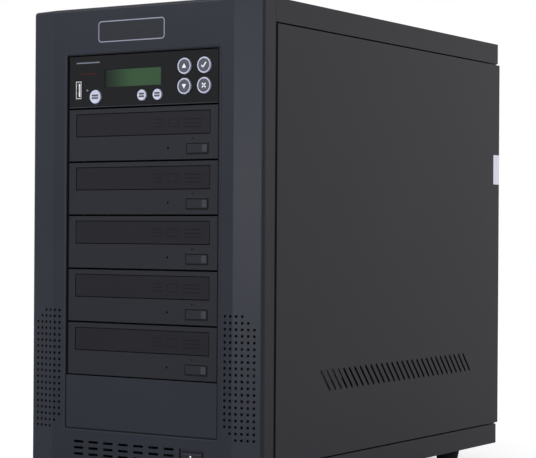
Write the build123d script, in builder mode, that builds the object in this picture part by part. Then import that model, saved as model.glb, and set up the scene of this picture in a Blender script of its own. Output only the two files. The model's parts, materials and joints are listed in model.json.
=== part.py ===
from build123d import *

import os
from math import atan2, cos, degrees, pi, radians, sin, tan

# A tower that copies discs: five tray-loading drives under a control panel, in a steel case
# with a moulded front. Millimetres. X runs to the right, Y to the back and Z up. The origin is
# on the floor under the middle of the tower, and the front faces -Y.

os.makedirs("parts", exist_ok=True)

# ---------------------------------------------------------------- driving dimensions
bay_count = 7  # half-height bays in the front opening
bay_pitch = 43.2  # height of one bay
bay_width = 148.9  # width of the front opening
drive_count = 5  # drives, in the bays under the control panel

case_width = 227.6
case_depth = 422.2  # fascia's face to the side panels' rear edge
head_height = 38.5  # fascia above the bays
chin_height = 40.1  # fascia under the bays
foot_height = 18.0

fascia_flat = 177.0  # flat middle of the fascia, between the two creases
wing_setback = 4.6  # how far each outer corner lies behind the flat
skirt_depth = 19.5  # fascia's face to the rear edge of its skirt
corner_radius = 3.0  # upright corners of the fascia
brow_radius = 2.5  # top front edge of the fascia
fascia_wall = 2.5
collar_wall = 2.0  # rim round the bay opening

sheet = 1.0  # steel sheet
strip_height = 18.7  # side strip of the top cover
sill_height = 18.2  # side strip of the chassis base
strip_lip = 9.0  # edge of a strip, folded inwards
panel_gap = 1.2  # side panel to the strip above and below it
panel_front = 23.0  # fascia's face to the side panel's front edge
panel_fold = 8.0  # folded edge of a side panel
rear_inset = 4.0  # rear sheet, in front of the side panels' rear edge
seat = 0.3  # clearance between neighbouring pieces
round_sides = 16  # flats of the small round pieces
small_sides = 8  # flats of shafts, pins, their bores and the disc motor
hole_sides = 6  # flats of the drives' pin and lamp holes
wide_sides = 32  # flats of the wells and the disc's recess

louvre_count = 29
louvre_pitch = 9.14
louvre_width = 2.5
louvre_rise = 17.0
louvre_run = 15.3  # each slot slants down towards the back
louvre_first = 97.8  # fascia's face to the middle of the first slot
louvre_height = 80.8  # middle of the row above the case's bottom

vent_rows = 20  # each wing's perforations
vent_pitch = 5.0
vent_size = 2.3
vent_edge = 7.3  # outermost column inside the fascia's side
vent_space = 7.0  # least distance from the bays to the innermost column
vent_top = 207.3  # first row under the top of the bays

slot_columns = 7  # air slots under the bays
slot_rows = 5
slot_width = 10.0
slot_height = 2.1
slot_pitch_x = 15.0
slot_pitch_z = 5.0
slot_first_x = -60.85
slot_drop = 10.8  # first row under the bays

clip_inset = 17.8  # snap clips that hold the fascia on the chassis, inside its side
clip_width = 8.0
clip_thick = 2.0
clip_barb = 1.2
clip_low = 25.0  # lowest clips above the case's bottom
clip_high = 40.0  # highest clips under the case's top
clip_room = 2.0  # how much wider a clip's slot is

power_x = 51.2  # middle of the power button
power_drop = 21.6  # middle of the power button under the bays
power_recess = 24.0
power_recess_depth = 1.2
power_size = 19.5
power_travel = 2.0
power_bevel = 0.6
power_flange = 1.5
power_stem = 6.0

blank_set = 0.2  # blank cover's face behind the fascia's face
blank_depth = 14.0
arm_top = 10.0  # arms behind the blank cover and the control bezel
arm_height = 20.0
arm_reach = 35.0
rear_flange = 15.0  # side flange of the rear sheet
rear_lip = 11.0  # top cover's edge, folded down over the rear sheet
front_lip = 8.0  # top cover's front edge, folded down over the chassis's front wall

bezel_side_gap = 1.2  # bezel to the side of its bay
bezel_drop = 0.8  # top of a bezel under the top of its bay
bezel_low_gap = 0.7  # bottom of a bezel over the bottom of its bay
bezel_set = 1.2  # bezel's face behind the fascia's face
bezel_plate = 2.0
bezel_rim = 1.5
bezel_depth = 5.1

housing_inset = 0.25  # housing's side inside its bezel's
housing_length = 165.0
housing_drop = 0.95
housing_low_gap = 0.95
bezel_gap = 0.2  # bezel's rim to the housing behind it

door_side = 7.35  # door's side inside its bezel's
door_height = 18.1
door_drop = 4.7  # top of the tray's door under the top of the bay
door_thick = 3.0
door_gap = 0.3
door_bevel = 0.5
tray_side = 1.0  # tray's side inside its door's
tray_drop = 9.5  # tray's rim under the top of the bay
tray_thick = 4.5
tray_end = 160.0  # tray's rear edge behind the fascia's face
disc_radius = 60.5
disc_recess = 2.5
disc_y = 74.0  # spindle's axis behind the fascia's face
tray_slot = 36.0  # slot for the turntable and the pickup
tray_running = 0.2  # tray's clearance over and under
tray_side_running = 0.4  # tray's clearance between its rails
ledge_width = 7.3
keeper_width = 2.4
keeper_places = (12.0, 122.0)  # tabs over the tray's rim, behind the fascia's face
keeper_length = 12.0
rail_drop = 8.0
deck_set = 0.5  # deck's front edge behind the housing's
deck_floor = 2.0

eject_x = 53.9
eject_drop = 34.25
eject_width = 19.4
eject_height = 6.9
eject_gap = 0.2
eject_travel = 1.0
eject_proud = 0.3
eject_flange = 1.0
eject_stem = 3.0
eject_switch_depth = 13.2
eject_switch_thick = 4.0
pinhole_x = 25.8
pinhole_drop = 33.3
pinhole_radius = 0.8
lamp_x = 49.7
lamp_drop = 26.2
lamp_radius = 0.9

turntable_radius = 13.0
turntable_thick = 2.5
turntable_lift = 1.1  # turntable above the tray's recess
hub_radius = 7.4
hub_height = 2.0
shaft_radius = 1.2
motor_radius = 12.0
motor_drop = 25.0  # motor's top under the top of the bay
running = 0.05  # radial clearance of a turning shaft
shaft_bore = 8.0

rod_x = 22.5
rod_drop = 21.0
rod_size = 3.0  # square sled rail
rod_start = 6.0  # rod's front end behind the spindle's axis
rod_length = 71.0
rod_post = 3.0  # thickness of the posts at a rod's ends
pickup_width = 54.0
pickup_length = 24.0
pickup_height = 9.0
pickup_drop = 15.0
pickup_offset = 24.0  # pickup at its inner stop behind the spindle's axis
lens_radius = 2.5
lens_block = 16.0
lens_rise = 2.4

display_left = -37.4
display_right = 18.5
display_top = 12.3
display_bottom = 26.6
big_button = 13.0  # diameters of the panel's buttons
medium_button = 11.3
small_button = 9.0
button_proud = 0.5  # a button's face in front of the fascia's face
button_gap = 0.2
button_travel = 0.8
usb_x = -64.2
usb_drop = 28.0
usb_width = 5.6
usb_height = 14.0
usb_depth = 14.3
board_y = 16.0  # controller board behind the fascia's face
board_thick = 1.6
panel_depth = 20.0  # control bezel's rim
post_size = 3.0  # posts that carry the board
glass_set = 0.5  # display's glass behind the bezel's face
module_depth = 5.0
switch_size = 6.0
switch_height = 2.0
button_flange = 1.0
button_stem = 5.0
chip_size = 20.0
chip_places = (-45.0, -15.0)
usb_wall = 0.4
usb_cavity = 12.0
usb_tongue = 1.8
cable_x = 35.0
plug_drop = 10.0  # first cable's plug under the top of the panel's bay
plug_step = 6.0
plug_height = 4.4
plug_length = 6.0

cage_depth = 170.0
cage_flange = 3.2
tab_length = 110.0  # ledge under each drive
tab_reach = 3.3
tab_thick = 0.8
tab_setback = 30.0

supply_width = 150.0
supply_height = 86.0
supply_depth = 140.0
supply_side = 10.8  # power supply's side inside the case's left side
supply_drop = 12.3  # power supply's top under the case's top
supply_screw = 6.0  # screws inside its corners
intake_slots = 4
supply_fan = 38.0  # radius of the blades' well
fan_offset = 28.0
inlet_offset = 50.0
inlet_lower = 18.0
rocker_raise = 18.0
supply_border = 4.0  # rear sheet round the power supply's back
inlet_width = 27.0
inlet_height = 19.6
inlet_depth = 20.0
inlet_wall = 1.4
inlet_proud = 0.5
inlet_key = 4.0
inlet_cavity = 17.0
blade_length = 14.0
blade_width = 2.0
blade_height = 4.0
blade_pitch = 7.0
rocker_width = 12.0
rocker_height = 19.0
rocker_lean = 10.0  # degrees; it rests pressed in at the top
rocker_well = 12.0
rocker_room = 1.0  # how much taller the well is
rocker_proud = 2.0

fan_size = 92.0
fan_depth = 25.0
fan_wall = 3.0  # frame beside the blades' well
fan_x = 10.0
fan_height = 165.0  # fan's middle above the case's bottom
fan_blades = 7
fan_tip_gap = 1.5
fan_hub = 17.0
hub_gap = 0.6
pin_radius = 1.6
pin_length = 2.7
rotor_length = 18.0
blade_chord = 20.0
blade_thick = 1.5
blade_pitch_angle = 40.0
fan_screw_pitch = 82.5
grille_web = 3.0  # metal between two slots
grille_slot = 5.0

foot_top = 12.0  # radii of a foot
foot_bottom = 8.5
foot_inset = 24.8  # middle of a foot inside the case's side
foot_front = 60.0  # behind the fascia's face
foot_rear = 57.2  # in front of the case's rear edge

screw_head = 3.4
screw_head_height = 2.0
screw_radius = 1.6
screw_length = 5.0
hem_shares = (0.06, 0.5, 0.94)  # places of the hems' screws up a side panel

cable_width = 8.0  # flat signal cable
cable_thick = 2.4
cable_bend = 14.0
cable_step = 4.0
trunk_reach = 12.0
trunk_width = 10.0
plug_width = 20.0

# ---------------------------------------------------------------- places worked out from them
face_y = -(case_depth - button_proud) / 2
rear_y = face_y + case_depth
rear_sheet_y = rear_y - rear_inset
skirt_y = face_y + skirt_depth
half_width = case_width / 2
case_height = head_height + bay_count * bay_pitch + chin_height
base_z = foot_height
roof_z = base_z + case_height
bay_top = roof_z - head_height
bay_bottom = bay_top - bay_count * bay_pitch
front_wall_y = face_y + panel_front - seat - sheet
wing_angle = atan2(wing_setback, half_width - fascia_flat / 2)
bezel_width = bay_width - 2 * bezel_side_gap
bezel_height = bay_pitch - bezel_drop - bezel_low_gap
housing_width = bezel_width - 2 * housing_inset
housing_height = bay_pitch - housing_drop - housing_low_gap
door_width = bezel_width - 2 * door_side
tray_width = door_width - 2 * tray_side
vent_room = half_width - vent_edge - bay_width / 2 - vent_space
vent_columns = 1 + int(vent_room / vent_pitch)
vent_inner_x = half_width - vent_edge - (vent_columns - 1) * vent_pitch
clip_x = half_width - clip_inset
disc_axis_y = face_y + disc_y
cage_front_y = front_wall_y + sheet
cage_inner = housing_width / 2 + seat
eject_switch_y = face_y + eject_switch_depth


def drive_top(number):
    """Top of the bay that holds a drive; the control panel has the first bay."""
    return bay_top - number * bay_pitch


def facing_front(y):
    """An upright plane at y: its first axis is X, its second is Z, and it faces the front."""
    return Plane.XZ.offset(-y)


def block(low, high, mode=Mode.ADD):
    """A box between two opposite corners."""
    middle = [(a + b) / 2 for a, b in zip(low, high)]
    with Locations(tuple(middle)):
        Box(*[b - a for a, b in zip(low, high)], mode=mode)


def across(side, near, far):
    """Lowest and highest X of what lies between two distances from the middle, on one side."""
    return min(side * near, side * far), max(side * near, side * far)


def flats(radius, sides):
    """A circle's polygon, drawn outside the circle so that the circle fits in it."""
    RegularPolygon(radius, sides, major_radius=False)


def save(piece, name):
    """Label a finished piece and write it."""
    piece.part.label = name
    export_step(piece.part, f"parts/{name}.step")


# ---------------------------------------------------------------- moulded front
def fascia_plan(inset, rear):
    """Plan of the fascia, inset from its outside: a flat middle and two swept-back wings."""
    side = half_width - inset
    crease = fascia_flat / 2 - inset * tan(wing_angle / 2)
    front = face_y + inset
    corner = front + (side - crease) * tan(wing_angle)
    left = [(-side, rear), (-side, corner), (-crease, front)]
    Polyline(*left, *[(-x, y) for x, y in reversed(left)], close=True)


def vent_points():
    """Middles of the right wing's perforations: a field with two opposite corners cut off."""
    for row in range(vent_rows):
        first = max(0, row - (vent_rows - 3))
        last = vent_columns - max(0, 2 - row)
        for column in range(first, last):
            yield vent_inner_x + column * vent_pitch, bay_top - vent_top - row * vent_pitch


def slot_points():
    """Middles of the air slots under the bays."""
    for row in range(slot_rows):
        for column in range(slot_columns):
            x = slot_first_x + column * slot_pitch_x
            yield x, bay_bottom - slot_drop - row * slot_pitch_z


bay_middle = (bay_top + bay_bottom) / 2
power_z = bay_bottom - power_drop
clip_catch_y = front_wall_y + sheet + seat
clip_root_y = face_y + (clip_x - fascia_flat / 2) * tan(wing_angle) + fascia_wall / 2
clip_places = [base_z + clip_low, base_z + case_height / 2, roof_z - clip_high]

with BuildPart() as front_fascia:
    with BuildSketch(Plane.XY.offset(base_z)):
        with BuildLine():
            fascia_plan(0, skirt_y)
        make_face()
    extrude(amount=case_height)
    uprights = front_fascia.edges().filter_by(Axis.Z)
    corners = uprights.filter_by(lambda edge: abs(edge.center().X) > half_width - 1)
    fillet(corners.filter_by(lambda edge: edge.center().Y < skirt_y - 1), radius=corner_radius)
    brow = front_fascia.edges().group_by(Axis.Z)[-1]
    fillet(brow.filter_by(lambda edge: edge.center().Y < skirt_y - 1), radius=brow_radius)
    with BuildSketch(Plane.XY.offset(base_z + fascia_wall)):
        with BuildLine():
            fascia_plan(fascia_wall, skirt_y + fascia_wall)
        make_face()
    extrude(amount=case_height - 2 * fascia_wall, mode=Mode.SUBTRACT)
    # rim round the bay opening
    with BuildSketch(facing_front(skirt_y)):
        with Locations((0, bay_middle)):
            Rectangle(bay_width + 2 * collar_wall, bay_count * bay_pitch + 2 * collar_wall)
    extrude(amount=skirt_depth - fascia_wall)
    with BuildSketch(facing_front(skirt_y)):
        with Locations((0, bay_middle)):
            Rectangle(bay_width, bay_count * bay_pitch)
    extrude(amount=skirt_depth, mode=Mode.SUBTRACT)
    # snap clips through the chassis's front wall
    for side in (-1, 1):
        for z in clip_places:
            with BuildSketch(Plane.YZ.offset(side * clip_x)):
                with BuildLine():
                    Polyline(
                        (clip_root_y, z),
                        (clip_catch_y + 2 * clip_barb, z),
                        (clip_catch_y + 2 * clip_barb, z + clip_thick),
                        (clip_catch_y, z + clip_thick + clip_barb),
                        (clip_catch_y, z + clip_thick),
                        (clip_root_y, z + clip_thick),
                        close=True,
                    )
                make_face()
            extrude(amount=clip_width / 2, both=True)
    # air slots, and the recess of the power button
    with BuildSketch(facing_front(face_y + fascia_wall)):
        with Locations(*slot_points()):
            Rectangle(slot_width, slot_height)
        with Locations((power_x, power_z)):
            Rectangle(power_size + 2 * seat, power_size + 2 * seat)
    extrude(amount=fascia_wall, mode=Mode.SUBTRACT)
    with BuildSketch(facing_front(face_y + power_recess_depth)):
        with Locations((power_x, power_z)):
            Rectangle(power_recess, power_recess)
    extrude(amount=power_recess_depth, mode=Mode.SUBTRACT)
    # perforated wings
    with BuildSketch(facing_front(face_y + wing_setback + 2 * fascia_wall)):
        with Locations(*vent_points()):
            Rectangle(vent_size, vent_size)
        mirror(about=Plane.YZ)
    extrude(amount=wing_setback + 2 * fascia_wall, mode=Mode.SUBTRACT)
save(front_fascia, "front_fascia")


def rimmed_plate(width, top, height, front, plate, rim, depth):
    """A plate that faces the front, with a rim running back round its edge."""
    middle = (0, top - height / 2)
    with BuildSketch(facing_front(front + depth)) as outline:
        with Locations(middle):
            Rectangle(width, height)
    extrude(outline.sketch, amount=depth)
    with BuildSketch(facing_front(front + depth)) as hollow:
        with Locations(middle):
            Rectangle(width - 2 * rim, height - 2 * rim)
    extrude(hollow.sketch, amount=depth - plate, mode=Mode.SUBTRACT)


def side_arms(top, start):
    """Two arms that run back beside a bay and screw to the cage."""
    outer = cage_inner - seat / 2
    for side in (-1, 1):
        low_x, high_x = across(side, outer - bezel_rim, outer)
        block(
            (low_x, start, top - arm_top - arm_height),
            (high_x, cage_front_y + arm_reach, top - arm_top),
        )


blank_top = bay_bottom + bay_pitch

with BuildPart() as blank_bay_cover:
    rimmed_plate(
        bay_width - 2 * seat,
        blank_top - seat,
        bay_pitch - 2 * seat,
        face_y + blank_set,
        fascia_wall,
        bezel_rim,
        blank_depth,
    )
    side_arms(blank_top, face_y + blank_set + fascia_wall)
save(blank_bay_cover, "blank_bay_cover")

with BuildPart() as power_button:
    with BuildSketch(facing_front(face_y + fascia_wall + seat)):
        with Locations((power_x, power_z)):
            Rectangle(power_size, power_size)
    extrude(amount=fascia_wall + seat - blank_set)
    chamfer(power_button.edges().group_by(Axis.Y)[0], length=power_bevel)
    with BuildSketch(facing_front(face_y + fascia_wall + seat + power_flange)):
        with Locations((power_x, power_z)):
            Rectangle(power_size + 2 * power_flange, power_size + 2 * power_flange)
    extrude(amount=power_flange)
    with BuildSketch(facing_front(front_wall_y - seat - power_travel)):
        with Locations((power_x, power_z)):
            Rectangle(power_stem, power_stem)
    extrude(amount=front_wall_y - face_y - fascia_wall - 2 * seat - power_travel - power_flange)
save(power_button, "power_button")


# ---------------------------------------------------------------- steel case
def channel_outline(web_z, way, height):
    """Right half of a lipped channel that opens upwards (way 1) or downwards (way -1)."""
    lip = half_width - strip_lip
    Polyline(
        (0, web_z),
        (half_width, web_z),
        (half_width, web_z + way * height),
        (lip, web_z + way * height),
        (lip, web_z + way * (height - sheet)),
        (half_width - sheet, web_z + way * (height - sheet)),
        (half_width - sheet, web_z + way * sheet),
        (0, web_z + way * sheet),
        close=True,
    )


def lipped_channel(web_z, way, height):
    """A sheet-metal channel that runs from behind the fascia to the rear sheet."""
    with BuildSketch(facing_front(rear_sheet_y)) as section:
        with BuildLine():
            channel_outline(web_z, way, height)
        make_face()
        mirror(about=Plane.YZ)
    extrude(section.sketch, amount=rear_sheet_y - skirt_y - seat)


inside = half_width - sheet - seat
cover_edge = roof_z - strip_height
sill_edge = base_z + sill_height
wall_top = cover_edge - seat
wall_low = base_z + sheet
floor_z = base_z + sheet

with BuildPart() as chassis_base:
    lipped_channel(base_z, 1, sill_height)
    with BuildSketch(facing_front(front_wall_y + sheet)):
        with Locations((0, (wall_top + wall_low) / 2)):
            Rectangle(2 * inside, wall_top - wall_low)
        with Locations((0, bay_middle)):
            bay_height = bay_count * bay_pitch
            Rectangle(bay_width + sheet, bay_height + 2 * sheet, mode=Mode.SUBTRACT)
        vent_middle_x = vent_inner_x + (vent_columns - 1) * vent_pitch / 2
        vent_middle_z = bay_top - vent_top - (vent_rows - 1) * vent_pitch / 2
        with Locations((vent_middle_x, vent_middle_z), (-vent_middle_x, vent_middle_z)):
            Rectangle(vent_columns * vent_pitch, vent_rows * vent_pitch, mode=Mode.SUBTRACT)
        slot_middle_x = slot_first_x + (slot_columns - 1) * slot_pitch_x / 2
        slot_middle_z = bay_bottom - slot_drop - (slot_rows - 1) * slot_pitch_z / 2
        with Locations((slot_middle_x, slot_middle_z)):
            Rectangle(slot_columns * slot_pitch_x, slot_rows * slot_pitch_z, mode=Mode.SUBTRACT)
        for side in (-1, 1):
            for z in clip_places:
                with Locations((side * clip_x, z + clip_thick)):
                    slot_tall = 2 * (clip_thick + clip_barb)
                    Rectangle(clip_width + clip_room, slot_tall, mode=Mode.SUBTRACT)
    extrude(amount=sheet)
    # flange that carries the rear sheet
    block(
        (-inside + strip_lip, rear_sheet_y - 2 * sheet, floor_z),
        (inside - strip_lip, rear_sheet_y - sheet, sill_edge - 2 * sheet),
    )
save(chassis_base, "chassis_base")

with BuildPart() as top_cover:
    lipped_channel(roof_z, -1, strip_height)
    lip_x = half_width - strip_lip - seat
    block(
        (-lip_x, front_wall_y - sheet, wall_top - front_lip),
        (lip_x, front_wall_y, roof_z - sheet),
    )
    block(
        (-lip_x, rear_sheet_y - sheet, roof_z - rear_lip),
        (lip_x, rear_sheet_y, roof_z - sheet),
    )
save(top_cover, "top_cover")


def louvre_points():
    """Middles of a side panel's slanted slots, as (y, z)."""
    for index in range(louvre_count):
        yield face_y + louvre_first + index * louvre_pitch, base_z + louvre_height


panel_low = sill_edge + panel_gap
panel_high = cover_edge - panel_gap
flange_start = rear_sheet_y - rear_flange - sheet


def side_panel(side):
    """A removable side: a flat skin with folded edges and a row of slanted slots."""
    skin = half_width - sheet
    fold_x = half_width - panel_fold - sheet
    y, z = face_y + panel_front, panel_low
    with BuildPart() as panel:
        with BuildSketch(Plane.YZ.offset(skin)):
            with Locations(((y + rear_y) / 2, (z + panel_high) / 2)):
                Rectangle(rear_y - y, panel_high - z)
            with Locations(*louvre_points()):
                Rectangle(
                    (louvre_run**2 + louvre_rise**2) ** 0.5,
                    louvre_width,
                    rotation=-degrees(atan2(louvre_rise, louvre_run)),
                    mode=Mode.SUBTRACT,
                )
        extrude(amount=sheet)
        block((fold_x, y, z), (skin, y + sheet, panel_high))
        block((fold_x, y, z), (skin, flange_start - seat, z + sheet))
        block((fold_x, y, panel_high - sheet), (skin, flange_start - seat, panel_high))
        hem_y = rear_sheet_y + seat
        block((fold_x - panel_fold / 2, hem_y, z), (skin, hem_y + sheet, panel_high))
        if side < 0:
            mirror(about=Plane.YZ, mode=Mode.REPLACE)
    return panel


right_side_panel = side_panel(1)
save(right_side_panel, "right_side_panel")
left_side_panel = side_panel(-1)
save(left_side_panel, "left_side_panel")


supply_x = supply_side + supply_width / 2 - half_width
supply_top = roof_z - supply_drop
supply_z = supply_top - supply_height / 2
supply_back_y = rear_sheet_y - sheet
fan_z = base_z + fan_height


def fan_slots(x, z, radius):
    """Straight slots that fill a circle, each as wide as the circle is there."""
    count = int(2 * radius / (grille_slot + grille_web))
    for index in range(count):
        height = (index - (count - 1) / 2) * (grille_slot + grille_web)
        reach = abs(height) + grille_slot / 2
        with Locations((x, z + height)):
            Rectangle(2 * (radius**2 - reach**2) ** 0.5, grille_slot)


with BuildPart() as rear_panel:
    with BuildSketch(facing_front(rear_sheet_y)):
        low, high = sill_edge + seat, wall_top
        with Locations((0, (low + high) / 2)):
            Rectangle(2 * inside, high - low)
        low, high = floor_z + seat, roof_z - rear_lip - seat
        with Locations((0, (low + high) / 2)):
            Rectangle(2 * lip_x, high - low)
        with Locations((supply_x, supply_z)):
            Rectangle(
                supply_width - 2 * supply_border,
                supply_height - 2 * supply_border,
                mode=Mode.SUBTRACT,
            )
    extrude(amount=sheet)
    for side in (-1, 1):
        low_x, high_x = across(side, inside - sheet, inside)
        block((low_x, flange_start, sill_edge + seat), (high_x, rear_sheet_y, wall_top))
    with BuildSketch(facing_front(rear_sheet_y)) as grille:
        fan_slots(fan_x, fan_z, fan_size / 2 - fan_wall)
    extrude(grille.sketch, amount=sheet, mode=Mode.SUBTRACT)
save(rear_panel, "rear_panel")

cage_top = roof_z - sheet - seat

with BuildPart() as drive_cage:
    cage_rear_y = cage_front_y + cage_depth
    block((cage_inner, cage_front_y, floor_z), (cage_inner + sheet, cage_rear_y, cage_top))
    block(
        (cage_inner, cage_front_y, floor_z),
        (cage_inner + cage_flange, cage_front_y + sheet, cage_top),
    )
    for bay in range(bay_count):
        shelf_z = bay_top - bay * bay_pitch - housing_drop - housing_height
        block(
            (cage_inner - tab_reach, cage_front_y + tab_setback, shelf_z - tab_thick),
            (cage_inner, cage_front_y + tab_setback + tab_length, shelf_z),
        )
    mirror(about=Plane.YZ)
    for z in (bay_top + sheet, bay_bottom - 2 * sheet):
        block((-cage_inner, cage_front_y, z), (cage_inner, cage_rear_y, z + sheet))
save(drive_cage, "drive_cage")


# ---------------------------------------------------------------- control panel
panel_face = face_y + bezel_set
panel_back = panel_face + fascia_wall
board_face = face_y + board_y
board_edge = bezel_width / 2 - bezel_rim - seat
buttons = {
    "up_button": (41.8, 12.9, big_button),
    "down_button": (41.8, 28.7, big_button),
    "ok_button": (60.6, 12.9, big_button),
    "cancel_button": (60.6, 28.7, big_button),
    "copy_button": (-45.9, 34.0, medium_button),
    "previous_button": (0.7, 34.2, small_button),
    "next_button": (15.9, 34.2, small_button),
}

with BuildPart() as control_bezel:
    rimmed_plate(
        bezel_width,
        bay_top - bezel_drop,
        bezel_height,
        panel_face,
        fascia_wall,
        bezel_rim,
        panel_depth,
    )
    side_arms(bay_top, panel_back)
    for x in (-board_edge + post_size / 2, board_edge - post_size / 2):
        for drop in (bezel_drop + 2 * bezel_rim, bezel_drop + bezel_height - 2 * bezel_rim):
            with BuildSketch(facing_front(board_face)):
                with Locations((x, bay_top - drop)):
                    Rectangle(post_size, post_size)
            extrude(amount=board_face - panel_back)
    with BuildSketch(facing_front(panel_back)):
        for x, drop, diameter in buttons.values():
            with Locations((x, bay_top - drop)):
                flats(diameter / 2 + button_gap, round_sides)
        with Locations((usb_x, bay_top - usb_drop)):
            Rectangle(usb_width + seat, usb_height + seat)
        display_middle = (
            (display_left + display_right) / 2,
            bay_top - (display_top + display_bottom) / 2,
        )
        with Locations(display_middle):
            Rectangle(display_right - display_left, display_bottom - display_top)
    extrude(amount=fascia_wall, mode=Mode.SUBTRACT)
save(control_bezel, "control_bezel")

with BuildPart() as lcd_module:
    glass_width = display_right - display_left - seat
    glass_height = display_bottom - display_top - seat
    with BuildSketch(facing_front(panel_back + seat)):
        with Locations(display_middle):
            Rectangle(glass_width, glass_height)
    extrude(amount=fascia_wall + seat - glass_set)
    with BuildSketch(facing_front(panel_back + seat + module_depth)):
        with Locations(display_middle):
            Rectangle(glass_width + 2 * bezel_rim, glass_height + 2 * bezel_rim)
    extrude(amount=module_depth)
save(lcd_module, "lcd_module")

board_top = bay_top - bezel_drop - bezel_rim - seat
board_low = bay_top - bezel_drop - bezel_height + bezel_rim + seat
plug_levels = [bay_top - plug_drop - plug_step * index for index in range(drive_count)]

with BuildPart() as controller_board:
    block((-board_edge, board_face, board_low), (board_edge, board_face + board_thick, board_top))
    for x, drop, _diameter in buttons.values():
        z = bay_top - drop
        half = switch_size / 2
        block((x - half, board_face - switch_height, z - half), (x + half, board_face, z + half))
    for z in plug_levels:
        half = plug_height / 2
        low = (cable_x - cable_width / 2, board_face + board_thick, z - half)
        block(low, (cable_x + cable_width / 2, board_face + board_thick + plug_length, z + half))
    for x in chip_places:
        half = chip_size / 2
        z = (board_top + board_low) / 2
        low = (x - half, board_face + board_thick, z - half)
        block(low, (x + half, board_face + 2 * board_thick, z + half))
save(controller_board, "controller_board")

with BuildPart() as usb_socket:
    usb_z = bay_top - usb_drop
    usb_face = panel_face + seat
    with BuildSketch(facing_front(board_face - seat)):
        with Locations((usb_x, usb_z)):
            Rectangle(usb_width, usb_height)
    extrude(amount=board_face - seat - usb_face)
    with BuildSketch(facing_front(usb_face + usb_cavity)):
        with Locations((usb_x, usb_z)):
            Rectangle(usb_width - 2 * usb_wall, usb_height - 2 * usb_wall)
    extrude(amount=usb_cavity, mode=Mode.SUBTRACT)
    with BuildSketch(facing_front(usb_face + usb_cavity)):
        with Locations((usb_x - usb_width / 2 + usb_wall + usb_tongue, usb_z)):
            Rectangle(usb_tongue, usb_height - 4 * usb_wall - usb_tongue)
    extrude(amount=usb_cavity - usb_tongue)
save(usb_socket, "usb_socket")


def panel_button(x, drop, diameter):
    """A cap on a square flange, with a stem that ends just short of its switch."""
    flange_face = panel_back + seat
    stem_end = board_face - switch_height - button_travel - button_gap
    with BuildPart() as button:
        with BuildSketch(facing_front(flange_face)):
            with Locations((x, bay_top - drop)):
                RegularPolygon(diameter / 2, round_sides)
        extrude(amount=flange_face - face_y + button_proud)
        with BuildSketch(facing_front(flange_face + button_flange)):
            with Locations((x, bay_top - drop)):
                Rectangle(diameter + 2 * button_flange, diameter + 2 * button_flange)
        extrude(amount=button_flange)
        with BuildSketch(facing_front(stem_end)):
            with Locations((x, bay_top - drop)):
                Rectangle(button_stem, button_stem)
        extrude(amount=stem_end - flange_face - button_flange)
    return button


for name, (x, drop, diameter) in buttons.items():
    save(panel_button(x, drop, diameter), name)


# ---------------------------------------------------------------- disc drives
bezel_back = face_y + bezel_set + bezel_depth
housing_face = bezel_back + bezel_gap
housing_back = housing_face + housing_length
plate_back = face_y + bezel_set + bezel_plate
tray_face = face_y + bezel_set
tray_back = face_y + tray_end
deck_face = housing_face + deck_set
deck_back = housing_back - 2 * sheet
deck_side = housing_width / 2 - sheet - seat
rail_x = tray_width / 2 + tray_side_running


def drive_housing(top):
    """A folded steel box, open at the front."""
    z = top - housing_drop
    half = housing_width / 2
    with BuildPart() as housing:
        block((-half, housing_face, z - housing_height), (half, housing_back, z))
        block(
            (-half + sheet, housing_face, z - housing_height + sheet),
            (half - sheet, housing_back - sheet, z - sheet),
            mode=Mode.SUBTRACT,
        )
    return housing


def drive_bezel(top):
    """A rimmed front with openings for the tray's door, the eject button, a lamp and a pin."""
    with BuildPart() as bezel:
        rimmed_plate(
            bezel_width,
            top - bezel_drop,
            bezel_height,
            tray_face,
            bezel_plate,
            bezel_rim,
            bezel_depth,
        )
        with BuildSketch(facing_front(plate_back)):
            with Locations((0, top - door_drop - door_height / 2)):
                Rectangle(door_width + 2 * door_gap, door_height + 2 * door_gap)
            with Locations((eject_x, top - eject_drop)):
                Rectangle(eject_width + 2 * eject_gap, eject_height + 2 * eject_gap)
            with Locations((pinhole_x, top - pinhole_drop)):
                flats(pinhole_radius, hole_sides)
            with Locations((lamp_x, top - lamp_drop)):
                flats(lamp_radius, hole_sides)
        extrude(amount=bezel_plate, mode=Mode.SUBTRACT)
    return bezel


def drive_tray(top):
    """A disc tray with its door: a round recess and a slot open to the back."""
    rim_z = top - tray_drop
    under_z = rim_z - tray_thick
    door_z = top - door_drop
    with BuildPart() as tray:
        block(
            (-door_width / 2, tray_face, door_z - door_height),
            (door_width / 2, tray_face + door_thick, door_z),
        )
        chamfer(tray.edges().group_by(Axis.Y)[0], length=door_bevel)
        block(
            (-tray_width / 2, tray_face + door_thick, under_z),
            (tray_width / 2, tray_back, rim_z),
        )
        with BuildSketch(Plane.XY.offset(rim_z)):
            with Locations((0, disc_axis_y)):
                flats(disc_radius, wide_sides)
        extrude(amount=-disc_recess, mode=Mode.SUBTRACT)
        with BuildSketch(Plane.XY.offset(rim_z)):
            with Locations((0, disc_axis_y)):
                flats(tray_slot / 2, round_sides)
            with Locations((0, (disc_axis_y + tray_back) / 2)):
                Rectangle(tray_slot, tray_back - disc_axis_y)
        extrude(amount=-tray_thick, mode=Mode.SUBTRACT)
    return tray


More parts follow.
